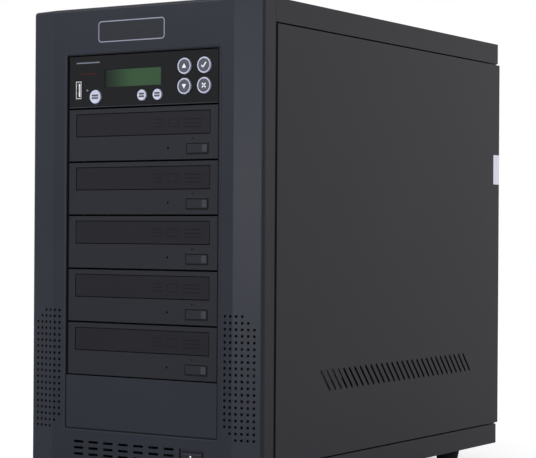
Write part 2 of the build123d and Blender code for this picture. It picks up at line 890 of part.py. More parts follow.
def eject_button(top):
    """A flat key with a flange behind the bezel and a stem towards its switch."""
    flange_face = plate_back + eject_gap
    z = top - eject_drop
    with BuildPart() as button:
        with BuildSketch(facing_front(flange_face)):
            with Locations((eject_x, z)):
                Rectangle(eject_width, eject_height)
        extrude(amount=flange_face - tray_face + eject_proud)
        with BuildSketch(facing_front(flange_face + eject_flange)):
            with Locations((eject_x, z)):
                Rectangle(eject_width + 2 * eject_flange, eject_height + 2 * eject_flange)
        extrude(amount=eject_flange)
        with BuildSketch(facing_front(eject_switch_y - eject_travel - eject_gap)):
            with Locations((eject_x, z)):
                Rectangle(2 * eject_stem, eject_stem)
        extrude(amount=eject_switch_y - eject_travel - eject_gap - flange_face - eject_flange)
    return button


def spindle(top):
    """Turntable, centring hub and shaft of the disc motor."""
    table_z = top - tray_drop - disc_recess + turntable_lift
    axis = Plane((0, disc_axis_y, table_z - turntable_thick))
    with BuildPart() as turning:
        with BuildSketch(axis):
            RegularPolygon(turntable_radius, round_sides)
        extrude(amount=turntable_thick)
        with BuildSketch(axis.offset(turntable_thick)):
            RegularPolygon(hub_radius, round_sides)
        extrude(amount=hub_height)
        with BuildSketch(axis):
            RegularPolygon(shaft_radius, small_sides)
        extrude(amount=-(table_z - turntable_thick - top + motor_drop + shaft_bore - seat))
    return turning


def pickup(top):
    """The laser sled: a body that slides on two rods, with a lens on its block."""
    front = disc_axis_y + pickup_offset - pickup_length / 2
    middle = front + pickup_length / 2
    z = top - pickup_drop
    rod_z = top - rod_drop
    half = pickup_width / 2
    with BuildPart() as sled:
        block((-half, front, z - pickup_height), (half, front + pickup_length, z))
        block(
            (-lens_block / 2, middle - lens_block / 3, z),
            (lens_block / 2, middle + lens_block / 3, z + lens_rise),
        )
        with BuildSketch(Plane.XY.offset(z + lens_rise)):
            with Locations((0, middle)):
                RegularPolygon(lens_radius, small_sides)
        extrude(amount=lens_rise / 4)
        # an eye round one rail and an open fork on the other
        with BuildSketch(facing_front(front + pickup_length)):
            with Locations((-rod_x, rod_z)):
                Rectangle(rod_size + 2 * running, rod_size + 2 * running)
            with Locations(((rod_x + half - rod_size / 2 - running) / 2, rod_z)):
                Rectangle(half - rod_x + rod_size / 2 + running, rod_size + 2 * running)
        extrude(amount=pickup_length, mode=Mode.SUBTRACT)
    return sled


def deck(top):
    """The loader's frame in one housing: floor, tray rails, rods, motor and eject switch."""
    floor = top - housing_drop - housing_height + sheet
    under = top - tray_drop - tray_thick
    block((-deck_side, deck_face, floor), (deck_side, deck_back, floor + deck_floor))
    rod_front = disc_axis_y + rod_start
    rod_low = top - rod_drop - rod_size / 2
    for side in (-1, 1):
        low_x, high_x = across(side, rail_x, rail_x + deck_floor)
        block((low_x, deck_face, floor), (high_x, deck_back, top - rail_drop))
        low_x, high_x = across(side, rail_x - ledge_width, rail_x)
        ledge_top = under - tray_running
        block((low_x, deck_face, ledge_top - deck_floor), (high_x, deck_back, ledge_top))
        low_x, high_x = across(side, rail_x - keeper_width, rail_x)
        keeper_low = top - tray_drop + tray_running
        for y in keeper_places:
            low = (low_x, face_y + y, keeper_low)
            block(low, (high_x, face_y + y + keeper_length, top - rail_drop))
        low_x, high_x = across(side, rod_x - rod_size / 2, rod_x + rod_size / 2)
        block((low_x, rod_front, rod_low), (high_x, rod_front + rod_length, rod_low + rod_size))
    # a post across the deck under each end of the two sled rails
    reach = rod_x + rod_size / 2
    for y in (rod_front, rod_front + rod_length - rod_post):
        block((-reach, y, floor), (reach, y + rod_post, rod_low))
    # motor with its bore
    with BuildSketch(Plane.XY.offset(floor)) as can:
        with Locations((0, disc_axis_y)):
            RegularPolygon(motor_radius, small_sides)
    extrude(can.sketch, amount=top - motor_drop - floor)
    with BuildSketch(Plane.XY.offset(top - motor_drop)) as bore:
        with Locations((0, disc_axis_y)):
            flats(shaft_radius + running, small_sides)
    extrude(bore.sketch, amount=-shaft_bore, mode=Mode.SUBTRACT)
    # switch behind the eject button
    block(
        (eject_x - eject_stem, eject_switch_y, floor),
        (eject_x + eject_stem, eject_switch_y + eject_switch_thick, top - eject_drop + eject_stem),
    )


for number in range(1, drive_count + 1):
    top = drive_top(number)
    save(drive_housing(top), f"drive_{number}_housing")
    save(drive_bezel(top), f"drive_{number}_bezel")
    save(drive_tray(top), f"drive_{number}_tray")
    save(eject_button(top), f"drive_{number}_eject_button")
    save(spindle(top), f"drive_{number}_spindle")
    save(pickup(top), f"drive_{number}_pickup")

with BuildPart() as drive_decks:
    for number in range(1, drive_count + 1):
        deck(drive_top(number))
save(drive_decks, "drive_decks")


# ---------------------------------------------------------------- power supply and fans
supply_front_y = supply_back_y - supply_depth
supply_fan_x = supply_x - fan_offset
inlet_x = supply_x + inlet_offset
inlet_z = supply_z - inlet_lower
rocker_z = supply_z + rocker_raise
well_floor_y = supply_back_y - sheet - fan_depth


def rotor(x, z, tip, floor_y, length):
    """A hub with pitched blades, on a pin that turns in a bore in the surface at floor_y."""
    front = floor_y + hub_gap
    with BuildPart() as fan:
        with BuildSketch(facing_front(front + length)):
            with Locations((x, z)):
                RegularPolygon(fan_hub, round_sides)
        extrude(amount=length)
        with BuildSketch(facing_front(front)):
            with Locations((x, z)):
                RegularPolygon(pin_radius, small_sides)
        extrude(amount=pin_length)
        for index in range(fan_blades):
            angle = 2 * pi * index / fan_blades
            outward = (cos(angle), 0, sin(angle))
            root = fan_hub - 2 * sheet
            origin = (x + root * outward[0], front + length / 2, z + root * outward[2])
            with BuildSketch(Plane(origin=origin, x_dir=(0, 1, 0), z_dir=outward)):
                Rectangle(blade_chord, blade_thick, rotation=blade_pitch_angle)
            extrude(amount=tip - root)
    return fan


with BuildPart() as psu_case:
    low = (supply_x - supply_width / 2, supply_front_y, supply_top - supply_height)
    block(low, (supply_x + supply_width / 2, supply_back_y, supply_top))
    high = (
        supply_x + supply_width / 2 - sheet,
        well_floor_y - pin_length - sheet,
        supply_top - sheet,
    )
    block([edge + sheet for edge in low], high, mode=Mode.SUBTRACT)
    with BuildSketch(facing_front(supply_front_y + sheet)):
        with GridLocations(0, 2 * (grille_slot + grille_web), 1, intake_slots) as places:
            intakes = [(supply_x, supply_z + place.position.Y) for place in places.locations]
        with Locations(*intakes):
            Rectangle(supply_width - 4 * supply_border, grille_slot)
    extrude(amount=sheet, mode=Mode.SUBTRACT)
    with BuildSketch(facing_front(supply_back_y - sheet)):
        with Locations((supply_fan_x, supply_z)):
            flats(supply_fan, wide_sides)
    extrude(amount=fan_depth, mode=Mode.SUBTRACT)
    with BuildSketch(facing_front(supply_back_y)) as guard:
        fan_slots(supply_fan_x, supply_z, supply_fan - sheet)
    extrude(guard.sketch, amount=sheet, mode=Mode.SUBTRACT)
    with BuildSketch(facing_front(well_floor_y)):
        with Locations((supply_fan_x, supply_z)):
            flats(pin_radius + running, small_sides)
    extrude(amount=pin_length, mode=Mode.SUBTRACT)
    with BuildSketch(facing_front(supply_back_y)):
        with Locations((inlet_x, inlet_z)):
            Rectangle(inlet_width + seat, inlet_height + seat)
    extrude(amount=inlet_depth + seat, mode=Mode.SUBTRACT)
    with BuildSketch(facing_front(supply_back_y)):
        with Locations((inlet_x, rocker_z)):
            Rectangle(rocker_width + 2 * seat, rocker_height + rocker_room)
    extrude(amount=rocker_well, mode=Mode.SUBTRACT)
save(psu_case, "psu_case")

psu_fan_rotor = rotor(supply_fan_x, supply_z, supply_fan - fan_tip_gap, well_floor_y, rotor_length)
save(psu_fan_rotor, "psu_fan_rotor")

with BuildPart() as psu_inlet:
    inlet_front_y = supply_back_y - inlet_depth
    inlet_face_y = supply_back_y + inlet_proud
    with BuildSketch(facing_front(inlet_face_y)):
        with Locations((inlet_x, inlet_z)):
            Rectangle(inlet_width, inlet_height)
    extrude(amount=inlet_face_y - inlet_front_y)
    with BuildSketch(facing_front(inlet_face_y)):
        with Locations((inlet_x, inlet_z)):
            hollow = Rectangle(inlet_width - 2 * inlet_wall, inlet_height - 2 * inlet_wall)
        chamfer(hollow.vertices().group_by(Axis.Y)[-1], length=inlet_key)
    extrude(amount=inlet_cavity, mode=Mode.SUBTRACT)
    with BuildSketch(facing_front(inlet_face_y - inlet_cavity + blade_length)):
        for shift, lift in ((-blade_pitch, -1), (0, 1), (blade_pitch, -1)):
            with Locations((inlet_x + shift, inlet_z + lift * blade_height / 2)):
                Rectangle(blade_width, blade_height)
    extrude(amount=blade_length)
save(psu_inlet, "psu_inlet")

with BuildPart() as psu_rocker:
    # side view: two faces that meet in a shallow valley, on a round back, pressed in at the top
    lean = radians(rocker_lean)
    origin = (inlet_x - rocker_width / 2, supply_back_y, rocker_z)
    with BuildSketch(Plane(origin=origin, x_dir=(0, cos(lean), sin(lean)), z_dir=(1, 0, 0))):
        with BuildLine():
            half = rocker_height / 2
            back = [radians(180 / small_sides * step) for step in range(1, small_sides)]
            Polyline(
                (0, half),
                (rocker_proud, half),
                (0, 0),
                (rocker_proud, -half),
                (0, -half),
                *[(-half * sin(turn), -half * cos(turn)) for turn in back],
                close=True,
            )
        make_face()
    extrude(amount=rocker_width)
save(psu_rocker, "psu_rocker")

with BuildPart() as case_fan_frame:
    frame_front_y = supply_back_y - fan_depth
    with BuildSketch(facing_front(supply_back_y)):
        with Locations((fan_x, fan_z)):
            Rectangle(fan_size, fan_size)
            well = fan_size / 2 - fan_wall
            RegularPolygon(well, wide_sides, major_radius=False, mode=Mode.SUBTRACT)
    extrude(amount=fan_depth)
    with BuildSketch(facing_front(frame_front_y + fan_wall)):
        with Locations((fan_x, fan_z)):
            RegularPolygon(fan_hub, round_sides)
            Rectangle(fan_size - fan_wall, 2 * fan_wall, rotation=45)
            Rectangle(fan_size - fan_wall, 2 * fan_wall, rotation=-45)
            bore = pin_radius + running
            RegularPolygon(bore, small_sides, major_radius=False, mode=Mode.SUBTRACT)
    extrude(amount=fan_wall)
save(case_fan_frame, "case_fan_frame")

blade_tip = fan_size / 2 - fan_wall - fan_tip_gap
case_fan_rotor = rotor(fan_x, fan_z, blade_tip, frame_front_y + fan_wall, rotor_length)
save(case_fan_rotor, "case_fan_rotor")


# ---------------------------------------------------------------- feet, screws and cables
with BuildPart() as feet:
    for x in (foot_inset - half_width, half_width - foot_inset):
        for y in (face_y + foot_front, rear_y - foot_rear):
            with BuildSketch(Plane.XY):
                with Locations((x, y)):
                    RegularPolygon(foot_bottom, round_sides)
            with BuildSketch(Plane.XY.offset(foot_height)):
                with Locations((x, y)):
                    RegularPolygon(foot_top, round_sides)
            loft()
save(feet, "feet")

hem_back_y = rear_sheet_y + seat + sheet
hem_x = half_width - sheet - panel_fold
hem_screws = [
    (side * hem_x, panel_low + share * (panel_high - panel_low))
    for side in (-1, 1)
    for share in hem_shares
]
corners = ((-1, -1), (-1, 1), (1, 1), (1, -1))
half_across = supply_width / 2 - supply_screw
half_up = supply_height / 2 - supply_screw
supply_screws = [(supply_x + a * half_across, supply_z + b * half_up) for a, b in corners]
half = fan_screw_pitch / 2
fan_screws = [(fan_x + a * half, fan_z + b * half) for a, b in corners]

with BuildPart() as screws:
    for seat_y, places in ((hem_back_y, hem_screws), (rear_sheet_y, supply_screws + fan_screws)):
        with BuildSketch(facing_front(seat_y + screw_head_height)):
            with Locations(*places):
                RegularPolygon(screw_head, 6)
        extrude(amount=screw_head_height)
        with BuildSketch(facing_front(seat_y)):
            with Locations(*places):
                RegularPolygon(screw_radius, 4)
        extrude(amount=screw_length)
save(screws, "screws")

socket_drop = housing_height / 2
trunk_y = housing_back + trunk_reach


def ribbon(x, width, points):
    """A flat cable: even thickness along its route, its corners cut at 45 degrees."""
    route = [Vector(*points[0])]
    for before, corner, after in zip(points, points[1:], points[2:]):
        for other in (before, after):
            run = Vector(*other) - Vector(*corner)
            route.append(Vector(*corner) + run.normalized() * cable_bend)
    route.append(Vector(*points[-1]))
    ways = [(b - a).normalized() for a, b in zip(route, route[1:])]
    outer, inner = [], []
    for point, before, after in zip(route, ways[:1] + ways, ways + ways[-1:]):
        mean = before + after
        side = Vector(-mean.Y, mean.X) * (cable_thick / mean.length**2)
        outer.append(point + side)
        inner.append(point - side)
    with BuildSketch(Plane.YZ.offset(x)) as section:
        with BuildLine():
            Polyline(*outer, *reversed(inner), close=True)
        make_face()
    extrude(section.sketch, amount=width / 2, both=True)


with BuildPart() as drive_cables:
    for number in range(1, drive_count + 1):
        z = drive_top(number) - socket_drop
        level = plug_levels[drive_count - number]
        half = plug_height / 2
        plug_end = housing_back + plug_length
        low = (cable_x - cable_width / 2, housing_back, z - half)
        block(low, (cable_x + cable_width / 2, plug_end, z + half))
        turn_y = plug_end + cable_bend + cable_step * (number + 1)
        start = (plug_end, z)
        end = (board_face + board_thick + plug_length, level)
        ribbon(cable_x, cable_width, [start, (turn_y, z), (turn_y, level), end])
        low = (-cable_x - plug_width / 2, housing_back, z - plug_height)
        high = (-cable_x + plug_width / 2, trunk_y - cable_thick / 2, z + plug_height)
        block(low, high)
    # power lead from the supply down the row of drives
    trunk_end = (trunk_y, drive_top(drive_count) - socket_drop - plug_height)
    ribbon(-cable_x, trunk_width, [(supply_front_y, supply_z), (trunk_y, supply_z), trunk_end])
save(drive_cables, "drive_cables")
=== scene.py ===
"""The looks of a tower that copies discs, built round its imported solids.

Sizes are in millimetres in the same frame as the solids: X to the right, Y to the back, Z up. Every
mesh is turned into metres when it is made.
"""

import json
import logging
import math
from dataclasses import dataclass, field
from enum import Enum

import bpy
import numpy as np
from mathutils import Matrix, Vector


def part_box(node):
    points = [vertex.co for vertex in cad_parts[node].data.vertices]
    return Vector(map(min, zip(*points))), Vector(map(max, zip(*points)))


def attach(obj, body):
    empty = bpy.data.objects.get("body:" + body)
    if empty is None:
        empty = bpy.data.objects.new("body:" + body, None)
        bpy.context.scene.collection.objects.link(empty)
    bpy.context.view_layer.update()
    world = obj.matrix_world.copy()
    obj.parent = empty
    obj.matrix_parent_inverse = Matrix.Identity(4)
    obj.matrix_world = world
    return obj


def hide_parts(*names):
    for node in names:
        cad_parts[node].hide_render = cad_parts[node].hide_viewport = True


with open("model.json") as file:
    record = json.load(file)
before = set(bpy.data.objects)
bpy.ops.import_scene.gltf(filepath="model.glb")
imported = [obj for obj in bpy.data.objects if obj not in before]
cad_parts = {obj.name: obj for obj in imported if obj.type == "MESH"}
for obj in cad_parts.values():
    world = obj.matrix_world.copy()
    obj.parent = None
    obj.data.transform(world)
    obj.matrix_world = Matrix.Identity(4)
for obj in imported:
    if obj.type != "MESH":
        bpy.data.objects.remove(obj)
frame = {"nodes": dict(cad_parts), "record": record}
log = logging.getLogger("tower")

MM = 0.001
Colour = tuple[float, float, float]
Setting = bool | int | float | str | tuple | list


def linear(code: str) -> Colour:
    """The linear colour of a screen colour's six hexadecimal digits."""
    shares = (int(code[i : i + 2], 16) / 255 for i in (0, 2, 4))
    return tuple(s / 12.92 if s <= 0.04045 else ((s + 0.055) / 1.055) ** 2.4 for s in shares)


# ---------------------------------------------------------------- shader sums
class Value:
    """A shader socket that carries a number and can stand in a sum."""

    def __init__(self, shader: "Shader", socket: bpy.types.NodeSocket) -> None:
        """Wraps one output socket of a shader's nodes."""
        self.shader = shader
        self.socket = socket

    def combine(self, operation: str, *values: "Value | float") -> "Value":
        """Adds one Math node.

        Args:
            operation: the Math node's operation.
            values: what goes into its sockets, in order.

        Returns:
            The node's result.
        """
        return self.shader.node(
            "ShaderNodeMath", {"operation": operation}, dict(enumerate(values))
        )

    def __add__(self, other: "Value | float") -> "Value":
        """This value plus another."""
        return self.combine("ADD", self, other)

    def __radd__(self, other: float) -> "Value":
        """A number plus this value."""
        return self.combine("ADD", other, self)

    def __mul__(self, other: "Value | float") -> "Value":
        """This value times another."""
        return self.combine("MULTIPLY", self, other)

    def __rmul__(self, other: float) -> "Value":
        """A number times this value."""
        return self.combine("MULTIPLY", other, self)

    def sine(self) -> "Value":
        """The sine of this value, in radians."""
        return self.combine("SINE", self)

    def within(self, low: float, high: float) -> "Value":
        """One between two limits, and nothing outside them."""
        return self.combine("GREATER_THAN", self, low) * self.combine("LESS_THAN", self, high)

    def ramp(self, low: float, high: float) -> "Value":
        """Rises smoothly from nothing at one limit to one at the other."""
        settings = {"interpolation_type": "SMOOTHSTEP"}
        return self.shader.node(
            "ShaderNodeMapRange", settings, {"Value": self, "From Min": low, "From Max": high}
        )


class Shader:
    """One material, or the world, and the nodes that colour it."""

    def __init__(self, name: str, world: bpy.types.World | None = None) -> None:
        """Starts with a new material's surface, or with a world's background.

        Args:
            name: of the material.
            world: what is coloured instead of a material.
        """
        self.material = world or bpy.data.materials.new(name)
        self.material.use_nodes = True
        self.tree = self.material.node_tree
        self.surface = self.tree.nodes["Background" if world else "Principled BSDF"]

    def node(
        self,
        kind: str,
        settings: dict[str, Setting],
        inputs: dict[int | str, "Value | Setting"],
        output: int | str = 0,
    ) -> Value:
        """Adds a node.

        Args:
            kind: the node's type.
            settings: its settings, or a colour ramp's stops under "stops".
            inputs: a value or a link for each socket that isn't left alone.
            output: the socket that is returned.

        Returns:
            The wrapped output socket.
        """
        made = self.tree.nodes.new(kind)
        for key, value in settings.items():
            if key == "stops":
                elements = made.color_ramp.elements
                while len(elements) < len(value):
                    elements.new(1.0)
                for element, (place, colour) in zip(elements, value):
                    element.position = place
                    element.color = (*colour, 1.0)
            else:
                setattr(made, key, value)
        for key, value in inputs.items():
            self.feed(made.inputs[key], value)
        return Value(self, made.outputs[output])

    def feed(self, socket: bpy.types.NodeSocket, value: "Value | Setting") -> None:
        """Links a value to a socket, or sets the socket to a constant."""
        if isinstance(value, Value):
            self.tree.links.new(value.socket, socket)
        elif isinstance(value, tuple) and len(value) == 3 and socket.type == "RGBA":
            socket.default_value = (*value, 1.0)
        else:
            socket.default_value = value

    def place(self) -> Value:
        """The point on the piece, in metres."""
        return self.node("ShaderNodeTexCoord", {}, {}, "Object")

    def axes(self) -> tuple[Value, Value, Value]:
        """The point's X, Y and Z, in millimetres."""
        scaled = self.node(
            "ShaderNodeVectorMath", {"operation": "SCALE"}, {0: self.place(), "Scale": 1 / MM}
        )
        split = self.node("ShaderNodeSeparateXYZ", {}, {0: scaled})
        outputs = split.socket.node.outputs
        return tuple(Value(self, outputs[axis]) for axis in range(3))

    def noise(self, size: float, detail: float = 2.0, stretch: Colour = (1, 1, 1)) -> Value:
        """Cloudy noise from 0 to 1.

        Args:
            size: width of its spots in millimetres.
            detail: how many finer layers it has.
            stretch: how much longer the spots are along X, Y and Z.

        Returns:
            The noise.
        """
        shrink = tuple(1 / s for s in stretch)
        turned = self.node("ShaderNodeMapping", {}, {"Vector": self.place(), "Scale": shrink})
        inputs = {"Vector": turned, "Scale": 1 / (size * MM), "Detail": detail}
        return self.node("ShaderNodeTexNoise", {}, inputs)

    def cells(self, size: float) -> Value:
        """A random number from 0 to 1 for each cell of a broken-up surface."""
        inputs = {"Vector": self.place(), "Scale": 1 / (size * MM)}
        found = self.node("ShaderNodeTexVoronoi", {}, inputs, "Color")
        return self.node("ShaderNodeSeparateColor", {}, {0: found})

    def blend(self, share: Value, first: "Value | Colour", second: "Value | Colour") -> Value:
        """A colour between two others.

        Args:
            share: 0 for the first colour and 1 for the second.
            first: a colour or a link.
            second: a colour or a link.

        Returns:
            The mixed colour.
        """
        node = self.tree.nodes.new("ShaderNodeMix")
        node.data_type = "RGBA"
        self.feed(node.inputs["Factor"], share)
        self.feed([s for s in node.inputs if s.name == "A" and s.type == "RGBA"][0], first)
        self.feed([s for s in node.inputs if s.name == "B" and s.type == "RGBA"][0], second)
        return Value(self, [s for s in node.outputs if s.type == "RGBA"][0])

    def bump(self, height: Value, depth: float) -> Value:
        """A normal that follows a height.

        Args:
            height: from 0 to 1.
            depth: what 1 stands for, in millimetres.

        Returns:
            The normal.
        """
        inputs = {"Height": height, "Distance": depth * MM, "Strength": 1.0}
        return self.node("ShaderNodeBump", {}, inputs)

    def finish(self, **sockets: "Value | Setting") -> bpy.types.Material:
        """Feeds the surface's sockets, named with underscores for blanks, and returns the material."""
        for name, value in sockets.items():
            self.feed(self.surface.inputs[name.replace("_", " ")], value)
        return self.material


# ---------------------------------------------------------------- finishes
@dataclass(frozen=True)
class Moulded:
    """Spark-textured moulded plastic."""

    name: str
    colour: str
    other: str
    roughness: float
    gloss: float = 0.3
    grain: float = 0.45
    depth: float = 0.02
    # side: colour of painted shade on the faces beyond side_x, the fascia's side faces
    side: str = ""
    side_x: float = 113.6

    def make(self) -> bpy.types.Material:
        """Fine pebbles on the surface, with a faint drift in colour and sheen, and where a side colour
        is given, painted shade on the faces beyond side_x.
        """
        shader = Shader(self.name)
        pebbles = shader.noise(self.grain, 3.0)
        drift = shader.noise(60.0, 1.0)
        shade = shader.blend(
            drift * 0.6 + pebbles * 0.4, linear(self.colour), linear(self.other)
        )
        # Painted shade: faces beyond side_x take the darker, greyer side colour.
        if self.side:
            x = shader.axes()[0]
            outside = x.combine("GREATER_THAN", x.combine("ABSOLUTE", x), self.side_x)
            shade = shader.blend(outside, shade, linear(self.side))
        return shader.finish(
            Base_Color=shade,
            Roughness=drift * 0.06 + pebbles * 0.08 + (self.roughness - 0.07),
            Specular_IOR_Level=self.gloss,
            Normal=shader.bump(pebbles, self.depth),
        )


@dataclass(frozen=True)
class Painted:
    """Powder paint on sheet steel, with its fine orange peel."""

    name: str
    colour: str
    other: str
    roughness: float = 0.5
    gloss: float = 0.35

    def make(self) -> bpy.types.Material:
        """Two sizes of peel in the bump, and a slow drift along the sheet."""
        shader = Shader(self.name)
        fine = shader.noise(0.7, 2.0)
        coarse = shader.noise(2.6, 1.0)
        drift = shader.noise(90.0, 1.0)
        height = fine * 0.6 + coarse * 0.4
        shade = shader.blend(
            drift * 0.7 + fine * 0.3, linear(self.colour), linear(self.other)
        )
        return shader.finish(
            Base_Color=shade,
            Roughness=fine * 0.1 + (self.roughness - 0.05),
            Specular_IOR_Level=self.gloss,
            Normal=shader.bump(height, 0.02),
        )


@dataclass(frozen=True)
class Steel:
    """Bare plated sheet: zinc spangle or a fine brushed line."""

    name: str
    colour: str
    other: str
    roughness: float = 0.38
    spangle: float = 9.0
    brush: Colour = (1.0, 1.0, 1.0)

    def make(self) -> bpy.types.Material:
        """Crystals differ in brightness and roughness, with a fine rolled line over them."""
        shader = Shader(self.name)
        crystals = shader.cells(self.spangle)
        lines = shader.noise(0.5, 2.0, self.brush)
        shade = shader.blend(
            crystals * 0.6 + lines * 0.4, linear(self.colour), linear(self.other)
        )
        return shader.finish(
            Base_Color=shade,
            Metallic=1.0,
            Roughness=crystals * 0.12 + lines * 0.08 + (self.roughness - 0.1),
            Normal=shader.bump(lines, 0.004),
        )


@dataclass(frozen=True)
class Gloss:
    """A smooth hard surface with a clear coat and barely visible handling marks."""

    name: str
    colour: str
    other: str
    roughness: float = 0.3
    metallic: float = 0.0
    coat: float = 0.6
    level: float = 0.5

    def make(self) -> bpy.types.Material:
        """Long faint wipes vary the sheen, and a slow wave keeps reflections from being perfect."""
        shader = Shader(self.name)
        wipes = shader.noise(1.2, 3.0, (9.0, 9.0, 1.0))
        wave = shader.noise(30.0, 1.0)
        shade = shader.blend(wave * 0.5 + wipes * 0.5, linear(self.colour), linear(self.other))
        return shader.finish(
            Base_Color=shade,
            Metallic=self.metallic,
            Roughness=wipes * 0.14 + (self.roughness - 0.07),
            Coat_Weight=self.coat,
            Coat_Roughness=0.06,
            Specular_IOR_Level=self.level,
            Normal=shader.bump(wave, 0.03),
        )


@dataclass(frozen=True)
class Display:
    """An unlit character display behind its window."""

    name: str
    colour: str
    # edge: dark colour of the painted shade at the left end, also the cells' colour
    edge: str
    left: float
    right: float
    rows: tuple[float, float]

    def make(self) -> bpy.types.Material:
        """Painted shade darkens the glass towards its left end, and the glass shows two faint rows of
        character cells.
        """
        shader = Shader(self.name)
        x, _, z = shader.axes()
        width = self.right - self.left
        # Painted shade: the glass blends to the dark edge colour towards its left end.
        light = x.ramp(self.left - 0.1 * width, self.left + 0.55 * width)
        cell = width / 17
        stripe = (x * (2 * math.pi / cell)).sine()
        dots = (z * (2 * math.pi / 0.62)).sine()
        low, high = self.rows
        rows = z.within(low, high)
        shade = shader.blend(light, linear(self.edge), linear(self.colour))
        faint = (stripe * 0.5 + 0.5) * rows * (dots * 0.15 + 0.85)
        marked = shader.blend(faint * 0.16, shade, linear(self.edge))
        return shader.finish(
            Base_Color=marked,
            Roughness=shader.noise(3.0) * 0.05 + 0.2,
            Specular_IOR_Level=0.12,
        )


@dataclass(frozen=True)
class Board:
    """Circuit board: solder mask over copper tracks, black packages above it."""

    name: str
    colour: str
    track: str
    package: str
    low_y: float
    high_y: float

    def make(self) -> bpy.types.Material:
        """Tracks follow square cells of a brick pattern; what stands off the board is black."""
        shader = Shader(self.name)
        _, y, _ = shader.axes()
        swapped = shader.node(
            "ShaderNodeMapping",
            {},
            {"Vector": shader.place(), "Rotation": (math.pi / 2, 0.0, 0.0)},
        )
        inputs = {
            "Vector": swapped,
            "Scale": 1 / MM,
            "Brick Width": 3.1,
            "Row Height": 1.3,
            "Mortar Size": 0.11,
            "Color1": (0.0, 0.0, 0.0),
            "Color2": (0.0, 0.0, 0.0),
            "Mortar": (1.0, 1.0, 1.0),
        }
        tracks = shader.node("ShaderNodeTexBrick", {}, inputs, "Fac")
        laminate = y.within(self.low_y, self.high_y)
        mask = shader.blend(tracks, linear(self.colour), linear(self.track))
        shade = shader.blend(laminate, linear(self.package), mask)
        return shader.finish(
            Base_Color=shade,
            Roughness=shader.noise(1.0) * 0.15 + 0.35,
            Normal=shader.bump(tracks * laminate, 0.03),
        )


@dataclass(frozen=True)
class Flat:
    """Printed ink or paper, and a painted highlight's colour: a matt skin with a fine tooth."""

    name: str
    colour: str
    other: str
    roughness: float = 0.6

    def make(self) -> bpy.types.Material:
        """Ink or paper fibres mottle the colour a little."""
        shader = Shader(self.name)
        tooth = shader.noise(0.25, 2.0)
        shade = shader.blend(tooth, linear(self.colour), linear(self.other))
        return shader.finish(
            Base_Color=shade,
            Roughness=tooth * 0.1 + (self.roughness - 0.05),
            Specular_IOR_Level=0.1,
            Normal=shader.bump(tooth, 0.006),
        )


class Slot(Enum):
    """The record's finishes."""

    FRONT = "moulded_front"
    CASE = "case_paint"
    DRIVE = "drive_front"
    PANEL = "panel_gloss"
    STEEL = "zinc_steel"
    DISPLAY = "display"
    BOARD = "circuit_board"
    SOCKET = "socket_metal"
    KEY = "key_silver"
    TRAY = "tray_plastic"
    INNER = "inner_plastic"
    TABLE = "turntable"
    SLED = "sled"
    FOOT = "foot_rubber"
    CABLE = "cable_jacket"
    SCREW = "fastener"


FINISHES = {
    # The front's side colour is painted shade on the fascia's side faces.
    Slot.FRONT: Moulded("moulded_front", "1d2029", "222530", 0.33, 0.17, side="1e1e22"),
    Slot.CASE: Painted("case_paint", "232328", "28282e", 0.45, 0.15),
    Slot.DRIVE: Moulded("drive_front", "1e1f25", "222329", 0.42, 0.12, 0.5, 0.012),
    Slot.PANEL: Gloss("panel_gloss", "111215", "15161a", 0.22, 0.0, 0.06, 0.1),
    Slot.STEEL: Steel("zinc_steel", "8f9296", "a9abad"),
    # The display's dark colour is painted shade at its left end and the cells' colour.
    Slot.DISPLAY: Display("display", "345136", "131a17", -37.4, 18.5, (335.0, 347.0)),
    Slot.BOARD: Board("circuit_board", "15402a", "2d6a45", "101113", -194.9, -193.2),
    Slot.SOCKET: Steel("socket_metal", "c9cacd", "dcdde0", 0.3, 3.0, (1.0, 12.0, 1.0)),
    Slot.KEY: Gloss("key_silver", "b2b5c9", "bfc2d6", 0.32, 0.35, 0.2),
    Slot.TRAY: Moulded("tray_plastic", "19191e", "1d1d22", 0.42, 0.1, 0.5, 0.012),
    Slot.INNER: Moulded("inner_plastic", "1b1b1d", "242427", 0.5, 0.35, 0.8, 0.02),
    Slot.TABLE: Moulded("turntable", "26272a", "2e2f33", 0.4, 0.4, 0.6, 0.01),
    Slot.SLED: Moulded("sled", "2b2d31", "3a3c41", 0.35, 0.5, 0.9, 0.02),
    Slot.FOOT: Moulded("foot_rubber", "0c0c0d", "131314", 0.75, 0.2, 0.6, 0.03),
    Slot.CABLE: Moulded("cable_jacket", "17171a", "222226", 0.45, 0.4, 1.2, 0.02),
    Slot.SCREW: Steel("fastener", "a4a6a8", "bcbec0", 0.3, 4.0),
}


# ---------------------------------------------------------------- surfaces
class Facing(Enum):
    """Which way a flat place looks; each has its right, up and outward directions."""

    FRONT = ((1, 0, 0), (0, 0, 1), (0, -1, 0))
    BACK = ((-1, 0, 0), (0, 0, 1), (0, 1, 0))
    RIGHT = ((0, 1, 0), (0, 0, 1), (1, 0, 0))
    LEFT = ((0, -1, 0), (0, 0, 1), (-1, 0, 0))


@dataclass(frozen=True)
class Place:
    """A flat place on the tower: a middle and the way it looks."""

    middle: tuple[float, float, float]
    facing: Facing

    def points(self, flat: np.ndarray, height: np.ndarray) -> np.ndarray:
        """Points of the place's own plane, lifted off it.

        Args:
            flat: right and up of each point, shape (..., 2).
            height: how far each stands out, shape (...).

        Returns:
            middle + right u + up v + outward h, shape (..., 3).
        """
        right, up, out = (np.array(way, float) for way in self.facing.value)
        u, v = flat[..., :1], flat[..., 1:]
        return np.array(self.middle) + right * u + up * v + out * height[..., None]


